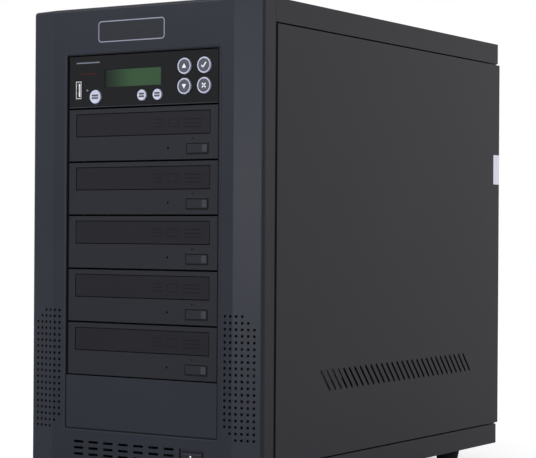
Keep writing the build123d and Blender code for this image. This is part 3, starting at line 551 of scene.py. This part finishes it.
@dataclass
class Surface:
    """Points and faces that grow into one mesh."""

    name: str
    points: list[np.ndarray] = field(default_factory=list)
    faces: list[tuple[int, ...]] = field(default_factory=list)
    count: int = 0

    def add_rings(self, rings: np.ndarray, cap_first: bool, cap_last: bool) -> None:
        """Joins closed rings of equal count into a skin: face (i, j) spans ring i to i + 1.

        Args:
            rings: points, shape (rings, around, 3), anticlockwise seen from the last ring.
            cap_first: close the first ring with a flat face.
            cap_last: close the last ring with a flat face.
        """
        steps, around, _ = rings.shape
        index = self.count + np.arange(steps * around).reshape(steps, around)
        onward = np.roll(index, -1, axis=1)
        quads = np.stack([index[:-1], onward[:-1], onward[1:], index[1:]], -1).reshape(-1, 4)
        self.faces += [tuple(quad) for quad in quads.tolist()]
        if cap_first:
            self.faces.append(tuple(index[0, ::-1].tolist()))
        if cap_last:
            self.faces.append(tuple(index[-1].tolist()))
        self.points.append(rings.reshape(-1, 3))
        self.count += steps * around

    def build(self, body: str, slot: Slot, material: bpy.types.Material) -> bpy.types.Object:
        """Makes the object, in metres, riding on its body.

        Args:
            body: name of the body that carries it.
            slot: the record's finish that it belongs to; not used.
            material: what it is dressed in.

        Returns:
            The object.
        """
        mesh = bpy.data.meshes.new(self.name)
        mesh.from_pydata((np.concatenate(self.points) * MM).tolist(), [], self.faces)
        mesh.materials.append(material)
        mesh.update()
        made = bpy.data.objects.new(self.name, mesh)
        bpy.context.scene.collection.objects.link(made)
        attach(made, body)
        log.info("%s: %d faces, rides on %s", self.name, len(self.faces), body)
        return made


def hoop(surface: Surface, rings: np.ndarray) -> None:
    """Adds a skin whose last ring meets its first: face (i, j) spans ring i to i + 1, around again."""
    surface.add_rings(np.concatenate([rings, rings[:1]]), False, False)


def disc(radius: float, count: int = 48) -> np.ndarray:
    """Outline of a circle: (r cos t, r sin t) for even steps of t."""
    turn = np.arange(count) * 2 * np.pi / count
    return radius * np.stack([np.cos(turn), np.sin(turn)], -1)


def rounded(width: float, height: float, radius: float, steps: int = 6) -> np.ndarray:
    """Outline of a rectangle with round corners.

    Each corner's middle plus the radius times (cos t, sin t), t over its quarter turn.

    Args:
        width: across.
        height: up.
        radius: of the corners.
        steps: points to a corner.

    Returns:
        Points anticlockwise, shape (4 steps, 2).
    """
    quarter = np.linspace(0, np.pi / 2, steps)
    turn = quarter + np.arange(4)[:, None] * np.pi / 2
    signs = np.array([(1, 1), (-1, 1), (-1, -1), (1, -1)])
    middles = signs * np.array([width / 2 - radius, height / 2 - radius])
    ring = middles[:, None] + radius * np.stack([np.cos(turn), np.sin(turn)], -1)
    return ring.reshape(-1, 2)


def bush(width: float, height: float, radius: float, steps: int) -> tuple[np.ndarray, np.ndarray]:
    """Outlines of a square-cornered hole and of the round-ended one inside it, point for point.

    At each corner's middle m and angle t, the round one is m + r (cos t, sin t) and the square one is
    m + r (cos t, sin t) / max(|cos t|, |sin t|).

    Args:
        width: across.
        height: up.
        radius: of the round corners.
        steps: points to a corner.

    Returns:
        The square outline and the round one, each of shape (4 steps, 2).
    """
    turn = (np.arange(steps) + 0.5) * np.pi / 2 / steps + np.arange(4)[:, None] * np.pi / 2
    way = np.stack([np.cos(turn), np.sin(turn)], -1)
    signs = np.array([(1, 1), (-1, 1), (-1, -1), (1, -1)])
    middles = (signs * np.array([width / 2 - radius, height / 2 - radius]))[:, None]
    square = middles + radius * way / np.abs(way).max(-1, keepdims=True)
    return square.reshape(-1, 2), (middles + 0.97 * radius * way).reshape(-1, 2)


def inset(outline: np.ndarray, amount: float) -> np.ndarray:
    """Moves an outline inwards by an even amount.

    Each point goes along the mean of its two edges' inward normals, longer at sharp corners by one
    over the cosine of half the turn.

    Args:
        outline: points anticlockwise, shape (n, 2).
        amount: how far, or outwards where it is negative.

    Returns:
        The moved points.
    """
    edge = np.roll(outline, -1, axis=0) - outline
    length = np.linalg.norm(edge, axis=1, keepdims=True)
    normal = np.stack([-edge[:, 1], edge[:, 0]], -1) / np.maximum(length, 1e-9)
    mean = normal + np.roll(normal, 1, axis=0)
    size = (mean**2).sum(1, keepdims=True)
    return outline + amount * 2 * mean / np.maximum(size, 0.4)


def relief(
    surface: Surface, place: Place, outline: np.ndarray, profile: list[tuple[float, float]]
) -> None:
    """A raised or sunk shape: the outline carried up a profile and closed with a flat top.

    Ring k is the outline moved inwards by the profile's k-th inset and lifted by its k-th height.

    Args:
        surface: what it is added to.
        place: where it lies.
        outline: its edge, anticlockwise as seen.
        profile: pairs of inset and height, from its foot to its top.
    """
    rings = [place.points(inset(outline, i), np.full(len(outline), h)) for i, h in profile]
    surface.add_rings(np.stack(rings), True, True)


def band(
    surface: Surface, place: Place, outline: np.ndarray, section: list[tuple[float, float]]
) -> None:
    """A frame: its section is carried round the outline and closes on itself.

    Ring k is the outline moved inwards by the section's k-th inset and lifted by its k-th height.

    Args:
        surface: what it is added to.
        place: where it lies.
        outline: anticlockwise as seen.
        section: pairs of inset and height, round the section.
    """
    rings = [place.points(inset(outline, i), np.full(len(outline), h)) for i, h in section]
    hoop(surface, np.stack(rings))


def lathe(
    surface: Surface, place: Place, profile: list[tuple[float, float]], around: int = 48
) -> None:
    """A turned shape: (r cos t, r sin t) at each radius and height of the profile.

    Args:
        surface: what it is added to.
        place: its middle and the way its axis points.
        profile: pairs of radius and height, from its foot to its top.
        around: points round it.
    """
    rings = [place.points(disc(r, around), np.full(around, h)) for r, h in profile]
    surface.add_rings(np.stack(rings), True, True)


# ---------------------------------------------------------------- the studio
@dataclass(frozen=True)
class Studio:
    """Camera, lamps, floor and background."""

    camera_place: tuple[float, float, float] = (0.84295, -1.34470, 0.2181)
    azimuth: float = 32.51
    elevation: float = -0.10
    roll: float = 0.362
    lens: float = 119.22
    floor_reach: float = 12.0
    floor_drop: float = 0.0002
    floor_glow: float = 0.45
    world_level: float = 0.55

    def camera(self) -> None:
        """The photograph's viewing angle, as a camera matrix built from its three angles."""
        a, e, r = (math.radians(x) for x in (self.azimuth, self.elevation, self.roll))
        back = np.array([math.sin(a) * math.cos(e), -math.cos(a) * math.cos(e), math.sin(e)])
        right = np.cross(-back, (0, 0, 1))
        right /= np.linalg.norm(right)
        up = np.cross(right, -back)
        across = math.cos(r) * right + math.sin(r) * up
        upward = -math.sin(r) * right + math.cos(r) * up
        data = bpy.data.cameras.new("camera")
        data.lens = self.lens
        data.clip_start = 0.05
        made = bpy.data.objects.new("camera", data)
        bpy.context.scene.collection.objects.link(made)
        turn = np.eye(4)
        turn[:3, 0], turn[:3, 1], turn[:3, 2] = across, upward, back
        turn[:3, 3] = self.camera_place
        made.matrix_world = Matrix(turn.tolist())
        bpy.context.scene.camera = made

    def lamp(
        self, name: str, place: Colour, target: Colour, size: float, power: float, tint: Colour
    ) -> None:
        """A square soft lamp that looks at a target.

        Args:
            name: of the lamp.
            place: where it stands, in metres.
            target: what it looks at.
            size: its side.
            power: in watts.
            tint: its colour.
        """
        data = bpy.data.lights.new(name, "AREA")
        data.shape = "SQUARE"
        data.size = size
        data.energy = power
        data.color = tint
        made = bpy.data.objects.new(name, data)
        bpy.context.scene.collection.objects.link(made)
        way = np.array(target) - np.array(place)
        made.location = place
        yaw = math.atan2(-way[0], way[1])
        pitch = math.atan2(math.hypot(way[0], way[1]), -way[2])
        made.rotation_euler = (pitch, 0.0, yaw)

    def light(self) -> None:
        """A soft world, a key from the front left and fills for the wing and the right side."""
        world = bpy.data.worlds.new("studio")
        bpy.context.scene.world = world
        shader = Shader("studio", world)
        seen, glossy, through = (
            shader.node("ShaderNodeLightPath", {}, {}, f"Is {ray} Ray")
            for ray in ("Camera", "Glossy", "Transmission")
        )
        shown = seen.combine("MAXIMUM", seen, glossy.combine("MAXIMUM", glossy, through))
        levels = {"Value": shown, "To Min": self.world_level, "To Max": 1.0}
        strength = shader.node("ShaderNodeMapRange", {}, levels)
        shader.finish(Color=(1.0, 1.0, 1.0), Strength=strength)
        self.lamp("key", (-1.5, -2.6, 1.9), (0.0, 0.0, 0.25), 1.4, 42.0, (1.0, 1.0, 1.0))
        self.lamp("wing", (-0.5, -2.9, 0.3), (0.1, -0.2, 0.22), 0.8, 14.0, (0.92, 0.94, 1.0))
        self.lamp("side", (2.8, 0.9, 1.2), (0.1, 0.0, 0.2), 1.2, 22.0, (1.0, 0.99, 0.97))

    def floor(self) -> None:
        """A pale floor that the camera sees as white but for the tower's shadow."""
        square = np.array([(-1, -1), (1, -1), (1, 1), (-1, 1)], float) * self.floor_reach
        points = np.c_[square, np.full(4, -self.floor_drop)]
        mesh = bpy.data.meshes.new("floor")
        mesh.from_pydata(points.tolist(), [], [(0, 1, 2, 3)])
        shader = Shader("floor")
        shown = shader.node("ShaderNodeLightPath", {}, {}, "Is Camera Ray")
        shader.finish(
            Base_Color=linear("f2f2f4"),
            Roughness=0.7,
            Emission_Color=(1.0, 1.0, 1.0),
            Emission_Strength=shown * self.floor_glow,
        )
        mesh.materials.append(shader.material)
        made = bpy.data.objects.new("floor", mesh)
        bpy.context.scene.collection.objects.link(made)

    def build(self) -> None:
        """Sets the whole studio."""
        bpy.context.scene.view_settings.view_transform = "Standard"
        self.camera()
        self.light()
        self.floor()


# ---------------------------------------------------------------- the tower's own pieces
@dataclass
class Paints:
    """Every finish, made once."""

    by_slot: dict[Slot, bpy.types.Material] = field(default_factory=dict)
    extra: dict[str, bpy.types.Material] = field(default_factory=dict)

    def make(self) -> None:
        """Makes the record's finishes, the printed ones, and the colours of painted highlights and
        painted shade.
        """
        for slot, finish in FINISHES.items():
            self.by_slot[slot] = finish.make()
        for finish in (
            Flat("mark_grey", "4a4c52", "54565c"),
            Flat("mark_white", "e9eaf2", "f4f5fb", 0.5),
            Flat("mark_dark", "0d0d10", "121216"),
            Flat("lamp_red", "3a0b0e", "4a0f13", 0.5),
            # Colour of a pale strip: a painted highlight on the panel's lower edge.
            Flat("edge_highlight_paint", "3c3e45", "44464e", 0.4),
            Flat("label_paper", "dcdcec", "e8e8f4", 0.55),
            Moulded("button_dish", "484b54", "51545e", 0.35, 0.2, 0.3, 0.006),
            Gloss("plate_silver", "7d808f", "8b8e9e", 0.3, 0.4, 0.2),
            Gloss("plate_field", "1d2027", "22252d", 0.3, 0.0, 0.1, 0.15),
            # A lighter copy of the front's moulding: a painted highlight on the opening's rim.
            Moulded("rim_highlight_moulding", "1e212b", "252833", 0.33, 0.17),
            # Near-black for the gaps round the opening and round the eject keys: painted shade.
            Gloss("gap_shade_paint", "08080a", "0d0d10", 0.3, 0.0, 0.05, 0.1),
            Gloss("lamp_glass", "08080a", "0e0e10", 0.2, 0.0, 0.1, 0.15),
            Flat("key_tone", "35373d", "3c3e45", 0.4),
            Flat("bar_silver", "6d707d", "787b88", 0.4),
        ):
            self.extra[finish.name] = finish.make()

    def dress(self) -> None:
        """Gives each solid its slot's finish."""
        for part in frame["record"]["subparts"]:
            slot = Slot(part["material_slot"])
            made = frame["nodes"][part["node"]]
            made.data.materials.clear()
            made.data.materials.append(self.by_slot[slot])


@dataclass
class SignPlate:
    """The raised blank plate above the bays, where a name would be."""

    paints: Paints
    middle_x: float = -10.0
    middle_z: float = 378.6
    width: float = 65.9
    height: float = 17.2
    corner: float = 3.0
    thick: float = 0.4
    rim: float = 0.9
    face_y: float = -210.85

    def build(self) -> None:
        """A thin bright rim round a dark satin field."""
        place = Place((self.middle_x, self.face_y, self.middle_z), Facing.FRONT)
        outline = rounded(self.width, self.height, self.corner)
        rim = Surface("sign_plate_rim")
        section = [(0.0, -0.3), (0.0, self.thick - 0.1), (0.12, self.thick)]
        section += [(self.rim - 0.12, self.thick), (self.rim, self.thick - 0.1), (self.rim, -0.3)]
        band(rim, place, outline, section)
        rim.build("tower", Slot.KEY, self.paints.extra["plate_silver"])
        field_face = Surface("sign_plate_field")
        relief(field_face, place, inset(outline, self.rim), [(0.0, -0.3), (0.0, self.thick - 0.2)])
        field_face.build("tower", Slot.FRONT, self.paints.extra["plate_field"])


@dataclass
class Fascia:
    """What the moulded front carries: round vents and the rim of its opening."""

    paints: Paints
    face_y: float = -210.85
    crease_x: float = 88.5
    edge_x: float = 113.8
    setback: float = 4.6
    vent_inner_x: float = 81.5
    vent_top: float = 153.2
    vent_cut: int = 2
    vent_step: float = 5.0
    vent_side: float = 2.3
    vent_rows: int = 20
    vent_columns: int = 6
    slot_left: float = -60.85
    slot_top: float = 47.3
    slot_step: float = 15.0
    slot_size: tuple[float, float] = (10.0, 2.1)
    slot_columns: int = 7
    slot_rows: int = 5
    opening_x: float = 74.45
    opening_low: float = 58.1
    opening_high: float = 360.5
    rim_width: float = 2.8
    rim_height: float = 0.22
    gap_width: float = 0.9

    def skin(self, x: np.ndarray) -> np.ndarray:
        """Y of the front at X: the face, then back in a straight slope past the crease."""
        past = np.maximum(np.abs(x) - self.crease_x, 0.0)
        return self.face_y + self.setback * past / (self.edge_x - self.crease_x)

    def vent_places(self) -> list[tuple[float, float]]:
        """X and Z of each vent: columns and rows, less the lower inner and upper outer corners."""
        places = []
        for row in range(self.vent_rows):
            first = max(0, row - (self.vent_rows - 1 - self.vent_cut))
            last = self.vent_columns - max(0, self.vent_cut - row)
            for column in range(first, last):
                x = self.vent_inner_x + column * self.vent_step
                z = self.vent_top - row * self.vent_step
                places += [(x, z), (-x, z)]
        return places

    def vents(self) -> None:
        """Each vent's square bore and each slot's square ends are brought to round ones."""
        surface = Surface("vent_bushes")
        round_vent = bush(self.vent_side, self.vent_side, self.vent_side / 2, 4)
        openings = [(x, z, *round_vent) for x, z in self.vent_places()]
        for column in range(self.slot_columns):
            for row in range(self.slot_rows):
                x = self.slot_left + column * self.slot_step
                z = self.slot_top - row * self.vent_step
                width, height = self.slot_size
                openings.append((x, z, *bush(width, height, height / 2, 5)))
        for x, z, square, circle in openings:
            rings = []
            for outline, sunk in ((square, 1.6), (square, 0.02), (circle, 0.02), (circle, 1.6)):
                across, up = x + outline[:, 0], z + outline[:, 1]
                rings.append(np.stack([across, self.skin(across) + sunk, up], -1))
            hoop(surface, np.stack(rings))
        surface.build("tower", Slot.FRONT, self.paints.by_slot[Slot.FRONT])

    def rim(self) -> None:
        """The opening's frame: a low crown that slopes down to the bays, carried round the opening, in
        a lighter copy of the front's moulding that paints a highlight, with a near-black band of
        painted shade in the gap inside it.
        """
        surface = Surface("opening_rim")
        middle = (self.opening_low + self.opening_high) / 2
        place = Place((0.0, self.face_y, middle), Facing.FRONT)
        edge = rounded(2 * self.opening_x, self.opening_high - self.opening_low, 0.6, 4)
        width, high = self.rim_width, self.rim_height
        gap = self.gap_width
        slope = [(-width, -0.3), (-width, 0.02), (0.3 - width, high), (0.7 - width, high)]
        slope += [(-gap, 0.04), (-gap, -0.3)]
        shadow = [(-gap, -0.3), (-gap, 0.03), (-0.02, 0.02)]
        shadow += [(-0.02, -1.2), (-0.1, -1.2), (-0.1, -0.3)]
        # A near-black band lines the gap round the opening: painted shade between the fascia and the
        # bays.
        shade_band = Surface("opening_shade_band")
        band(surface, place, edge, slope)
        band(shade_band, place, edge, shadow)
        # The rim's lighter moulding is a painted highlight.
        surface.build("tower", Slot.FRONT, self.paints.extra["rim_highlight_moulding"])
        shade_band.build("tower", Slot.FRONT, self.paints.extra["gap_shade_paint"])

    def build(self) -> None:
        """The vents and the rim."""
        self.vents()
        self.rim()


class Symbol(Enum):
    """What a large button shows."""

    UP = "up"
    DOWN = "down"
    TICK = "tick"
    CROSS = "cross"

    def strokes(self) -> list[np.ndarray]:
        """Outlines of the symbol's parts, anticlockwise, within one millimetre of the middle."""
        if self is Symbol.UP:
            return [np.array([(-1.0, -0.75), (1.0, -0.75), (0.0, 1.0)])]
        if self is Symbol.DOWN:
            return [np.array([(-1.0, 0.75), (0.0, -1.0), (1.0, 0.75)])]
        bar = np.array([(-1.2, -0.24), (1.2, -0.24), (1.2, 0.24), (-1.2, 0.24)])
        if self is Symbol.CROSS:
            return [turned(bar, 45.0), turned(bar, -45.0)]
        long = turned(bar, 55.0) + np.array([0.3, 0.1])
        short = turned(bar * np.array([0.5, 1.0]), -45.0) + np.array([-0.75, -0.5])
        return [long, short]


def turned(outline: np.ndarray, degrees: float) -> np.ndarray:
    """An outline turned about its own origin: (x cos - y sin, x sin + y cos)."""
    c, s = math.cos(math.radians(degrees)), math.sin(math.radians(degrees))
    return outline @ np.array([(c, s), (-s, c)])


@dataclass(frozen=True)
class Button:
    """One round button of the control panel."""

    node: str
    body: str
    x: float
    drop: float
    diameter: float
    symbol: Symbol | None = None


@dataclass
class ControlPanel:
    """The gloss panel: its buttons' faces, its lamps, the socket's mark and other marks, and a painted
    highlight along its lower edge.
    """

    paints: Paints
    bay_top: float = 360.5
    panel_y: float = -209.65
    face_y: float = -211.35
    flange_depth: float = 4.5
    buttons: tuple[Button, ...] = (
        Button("up_button", "up_key", 41.8, 12.9, 13.0, Symbol.UP),
        Button("down_button", "down_key", 41.8, 28.7, 13.0, Symbol.DOWN),
        Button("ok_button", "ok_key", 60.6, 12.9, 13.0, Symbol.TICK),
        Button("cancel_button", "cancel_key", 60.6, 28.7, 13.0, Symbol.CROSS),
        Button("copy_button", "copy_key", -45.9, 34.0, 11.3),
        Button("previous_button", "previous_key", 0.7, 34.2, 9.0),
        Button("next_button", "next_key", 15.9, 34.2, 9.0),
    )

    def button(self, spec: Button) -> None:
        """A turned cap with its flange: bright ring and grey dish, or a marked silver face.

        Args:
            spec: which button.
        """
        low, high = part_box(spec.node)
        depth = (high[1] - low[1]) / MM
        place = Place((spec.x, self.face_y, self.bay_top - spec.drop), Facing.FRONT)
        radius = spec.diameter / 2 - 0.15
        cap = Surface(f"{spec.node}_cap")
        flange, front, back = radius + 1.0, -self.flange_depth, -self.flange_depth - 1.0
        side = [(0.01, -depth), (2.4, -depth), (2.4, back), (flange, back), (flange, front)]
        side += [(radius, front), (radius, -0.45), (radius - 0.13, -0.13), (radius - 0.4, 0.0)]
        if spec.symbol is None:
            lathe(cap, place, side + [(radius * 0.7, -0.03), (0.01, -0.08)])
        else:
            inner = radius - 1.15
            well = [(inner + 0.2, -0.02), (inner, -0.2), (inner, -0.5), (0.01, -0.5)]
            lathe(cap, place, side + well)
            dish = Surface(f"{spec.node}_dish")
            face = [(0.01, -0.5), (inner - 0.02, -0.5), (inner - 0.02, -0.28), (inner * 0.85, -0.2)]
            lathe(dish, place, face + [(inner * 0.4, -0.26), (0.01, -0.28)])
            dish.build(spec.body, Slot.KEY, self.paints.extra["button_dish"])
        made = cap.build(spec.body, Slot.KEY, self.paints.by_slot[Slot.KEY])
        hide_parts(spec.node)
        marks = Surface(f"{spec.node}_mark")
        if spec.symbol is None:
            for lift in (1.05, -1.05):
                bar = rounded(radius * 1.2, 1.5, 0.3, 3) + np.array([0.0, lift])
                relief(marks, place, bar, [(0.0, -0.3), (0.0, 0.0)])
            marks.build(spec.body, Slot.KEY, self.paints.extra["mark_grey"])
        else:
            for stroke in spec.symbol.strokes():
                relief(marks, place, stroke * 2.0, [(0.0, -0.4), (0.0, -0.1)])
            marks.build(spec.body, Slot.KEY, self.paints.extra["mark_white"])

    def bars(self) -> None:
        """The bare bars where a name and a line of words would be, the panel's two lamps, and a pale
        strip along its lower edge that is a painted highlight.
        """
        for name, x, drop, width, height, paint in (
            ("panel_bar", -54.4, 6.1, 24.0, 1.0, "bar_silver"),
            ("panel_dash", -53.4, 15.2, 16.7, 0.8, "lamp_red"),
            ("socket_mark", -55.0, 28.5, 2.0, 1.6, "bar_silver"),
            ("busy_lamp", -55.0, 33.3, 2.2, 2.2, "lamp_glass"),
            # A pale strip along the panel's lower edge: a painted highlight.
            ("panel_low_highlight", 0.0, 42.2, 145.4, 0.35, "edge_highlight_paint"),
        ):
            surface = Surface(name)
            place = Place((x, self.panel_y, self.bay_top - drop), Facing.FRONT)
            outline = rounded(width, height, min(width, height) * 0.4, 4)
            relief(surface, place, outline, [(0.0, -0.3), (0.0, 0.03), (0.05, 0.06)])
            surface.build("tower", Slot.PANEL, self.paints.extra[paint])

    def build(self) -> None:
        """All of the panel's pieces."""
        for spec in self.buttons:
            self.button(spec)
        self.bars()


@dataclass
class DriveFront:
    """Marks and lamp of one drive."""

    paints: Paints
    number: int
    bay_top: float = 360.5
    bay_pitch: float = 43.2
    face_y: float = -209.65
    key_y: float = -209.95
    key_x: float = 53.9
    key_width: float = 19.4
    key_height: float = 6.9

    @property
    def top(self) -> float:
        """Top of this drive's bay."""
        return self.bay_top - self.number * self.bay_pitch

    def build(self) -> None:
        """Two faint generic badges on the door, the key's pale end, a near-black band of painted shade
        round the key, and the lamp's lens.
        """
        tray, eject = f"tray_{self.number}", f"eject_{self.number}"
        badges = Surface(f"drive_{self.number}_badges")
        place = Place((0.0, self.face_y, self.top), Facing.FRONT)
        step = [(0.0, -0.2), (0.0, 0.02)]
        for x, drop, width, height in ((16.6, 13.7, 8.7, 0.7), (49.6, 14.2, 16.5, 0.8)):
            for lift in (-3.0, 0.0, 3.0):
                bar = rounded(width, height, 0.3, 3) + np.array([x, lift - drop])
                relief(badges, place, bar, step)
        outer = rounded(10.4, 6.6, 1.2) + np.array([31.0, -13.8])
        rings = [
            place.points(inset(outer, i), np.full(len(outer), h))
            for i, h in ((0.0, -0.2), (0.0, 0.02), (0.6, 0.02), (0.6, -0.2))
        ]
        badges.add_rings(np.stack(rings), False, False)
        badges.build(tray, Slot.DRIVE, self.paints.extra["mark_dark"])
        end = Surface(f"drive_{self.number}_key_end")
        place = Place((60.75, self.key_y, self.top - 34.25), Facing.FRONT)
        relief(end, place, rounded(4.5, 5.6, 0.4), [(0.0, -0.2), (0.0, 0.02), (0.15, 0.05)])
        end.build(eject, Slot.DRIVE, self.paints.extra["key_tone"])
        # A near-black band round the eject key: painted shade in the key's gap.
        shade_ring = Surface(f"drive_{self.number}_key_shade_ring")
        place = Place((self.key_x, self.face_y, self.top - 34.25), Facing.FRONT)
        edge = rounded(self.key_width + 0.5, self.key_height + 0.5, 0.5, 4)
        section = [(-1.1, -0.2), (-1.1, 0.02), (-0.9, 0.08), (-0.1, 0.08), (0.0, 0.0), (0.0, -0.2)]
        band(shade_ring, place, edge, section)
        shade_ring.build("tower", Slot.DRIVE, self.paints.extra["gap_shade_paint"])
        lens = Surface(f"drive_{self.number}_lamp")
        place = Place((49.7, self.face_y, self.top - 26.2), Facing.FRONT)
        lathe(lens, place, [(0.75, -1.6), (0.75, -0.1), (0.45, 0.02), (0.02, 0.06)], 24)
        lens.build("tower", Slot.DRIVE, self.paints.extra["lamp_glass"])


@dataclass
class Louvres:
    """Round ends of the slanted slots in both side panels."""

    paints: Paints
    side_x: float = 113.8
    first_y: float = -113.05
    step: float = 9.14
    count: int = 29
    middle_z: float = 98.8
    width: float = 2.5
    run: float = 15.3
    rise: float = 17.0

    def build(self) -> None:
        """Each slot's lining follows the square hole outside and a round-ended one inside."""
        angle = math.degrees(math.atan2(self.rise, self.run))
        square, stadium = bush(math.hypot(self.run, self.rise), self.width, self.width / 2, 5)
        for facing, sign in ((Facing.RIGHT, 1), (Facing.LEFT, -1)):
            surface = Surface(f"{facing.name.lower()}_louvre_ends")
            for index in range(self.count):
                y = self.first_y + index * self.step
                place = Place((sign * self.side_x, y, self.middle_z), facing)
                section = ((square, -0.9), (square, -0.02), (stadium, -0.02), (stadium, -0.9))
                rings = [
                    place.points(turned(outline, -sign * angle), np.full(len(outline), height))
                    for outline, height in section
                ]
                hoop(surface, np.stack(rings))
            surface.build("tower", Slot.CASE, self.paints.by_slot[Slot.CASE])


@dataclass
class Screws:
    """Hexagon screws with a sunk head, on the rear sheet."""

    paints: Paints
    hem_y: float = 208.65
    sheet_y: float = 207.35
    hem_x: float = 104.8
    low: float = 37.4
    high: float = 379.1
    shares: tuple[float, ...] = (0.06, 0.5, 0.94)
    supply: tuple[tuple[float, float], ...] = ((-28.0, 343.7), (69.0, 37.0))
    fan: tuple[tuple[float, float], ...] = ((10.0, 183.0), (41.25, 41.25))

    def places(self) -> list[tuple[float, float, float]]:
        """The middle of each screw's seat: hems, power supply and fan."""
        tall = self.high - self.low
        found = []
        for side in (-1, 1):
            for share in self.shares:
                found.append((side * self.hem_x, self.hem_y, self.low + share * tall))
        for (x, z), (across, up) in (self.supply, self.fan):
            for a, b in ((-1, -1), (-1, 1), (1, 1), (1, -1)):
                found.append((x + a * across, self.sheet_y, z + b * up))
        return found

    def build(self) -> None:
        """A six-sided turned form: shank, chamfered head, and the dimple in its face."""
        surface = Surface("screw_heads")
        profile = [(0.01, -5.0), (1.1, -5.0), (1.1, 0.0), (3.4, 0.0), (3.4, 1.5), (2.95, 2.0)]
        profile += [(1.9, 2.0), (1.6, 1.3), (0.01, 1.3)]
        for middle in self.places():
            lathe(surface, Place(middle, Facing.BACK), profile, 6)
        made = surface.build("tower", Slot.SCREW, self.paints.by_slot[Slot.SCREW])
        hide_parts("screws")


@dataclass
class PowerButton:
    """The square power button's step line and pale dot."""

    paints: Paints
    middle_x: float = 51.2
    dot: tuple[float, float] = (49.8, 42.6)
    line_z: float = 44.4
    line_length: float = 17.0

    def build(self) -> None:
        """A low ridge near its top, and a printed dot, both on the button's face."""
        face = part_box("power_button")[0][1] / MM
        ridge = Surface("power_button_ridge")
        place = Place((self.middle_x, face, self.line_z), Facing.FRONT)
        relief(ridge, place, rounded(self.line_length, 0.6, 0.25, 4), [(0.0, -0.2), (0.2, 0.15)])
        ridge.build("power_key", Slot.DRIVE, self.paints.extra["mark_grey"])
        dot = Surface("power_button_dot")
        place = Place((self.dot[0], face, self.dot[1]), Facing.FRONT)
        lathe(dot, place, [(0.8, -0.2), (0.8, 0.0), (0.01, 0.03)], 24)
        dot.build("power_key", Slot.DRIVE, self.paints.extra["mark_white"])


@dataclass
class Sticker:
    """The blank paper label at the right panel's rear edge; the real one wraps round the edge, this
    one lies on the side only.
    """

    paints: Paints
    side_x: float = 113.8
    rear_y: float = 211.35
    low: float = 265.0
    high: float = 293.0
    reach: float = 12.5
    thick: float = 0.02

    def build(self) -> None:
        """A sheet of even thickness laid against the panel, its corners slightly round."""
        surface = Surface("panel_label")
        middle = (self.side_x, self.rear_y - self.reach / 2, (self.low + self.high) / 2)
        place = Place(middle, Facing.RIGHT)
        outline = rounded(self.reach, self.high - self.low, 0.8)
        relief(surface, place, outline, [(0.0, -0.05), (0.0, self.thick)])
        surface.build("tower", Slot.CASE, self.paints.extra["label_paper"])


@dataclass
class Feet:
    """Four moulded rubber feet."""

    paints: Paints
    places: tuple[tuple[float, float], ...] = (
        (-89.0, -150.85),
        (89.0, -150.85),
        (-89.0, 154.15),
        (89.0, 154.15),
    )
    height: float = 18.0
    top_radius: float = 12.0
    low_radius: float = 8.5

    def profile(self) -> list[tuple[float, float]]:
        """Radius falls evenly with height, with a soft lower edge and a sunk screw well."""
        top, low, high = self.top_radius, self.low_radius, self.height
        return [
            (3.2, 4.0),
            (3.2, 0.4),
            (3.6, 0.0),
            (low - 1.4, 0.0),
            (low - 0.4, 0.4),
            (low, 1.4),
            ((top + low) / 2, high / 2),
            (top - 0.2, high - 0.8),
            (top - 0.2, high),
        ]

    def build(self) -> None:
        """Each foot is turned about its own upright axis: (r cos t, r sin t, h)."""
        surface = Surface("feet_rubber")
        turn = np.arange(48) * 2 * np.pi / 48
        radius, height = np.array(self.profile()).T
        for x, y in self.places:
            rings = np.stack(
                [
                    x + radius[:, None] * np.cos(turn),
                    y + radius[:, None] * np.sin(turn),
                    np.broadcast_to(height[:, None], (len(radius), len(turn))),
                ],
                -1,
            )
            surface.add_rings(rings, True, True)
        made = surface.build("tower", Slot.FOOT, self.paints.by_slot[Slot.FOOT])
        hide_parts("feet")


def main() -> None:
    """Dresses the solids and adds the new pieces."""
    logging.basicConfig(level=logging.INFO, format="%(name)s: %(message)s")
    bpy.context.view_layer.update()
    Studio().build()
    paints = Paints()
    paints.make()
    paints.dress()
    Fascia(paints).build()
    SignPlate(paints).build()
    ControlPanel(paints).build()
    for number in range(1, 6):
        DriveFront(paints, number).build()
    PowerButton(paints).build()
    Louvres(paints).build()
    Screws(paints).build()
    Sticker(paints).build()
    Feet(paints).build()


if __name__ == "__main__":
    main()
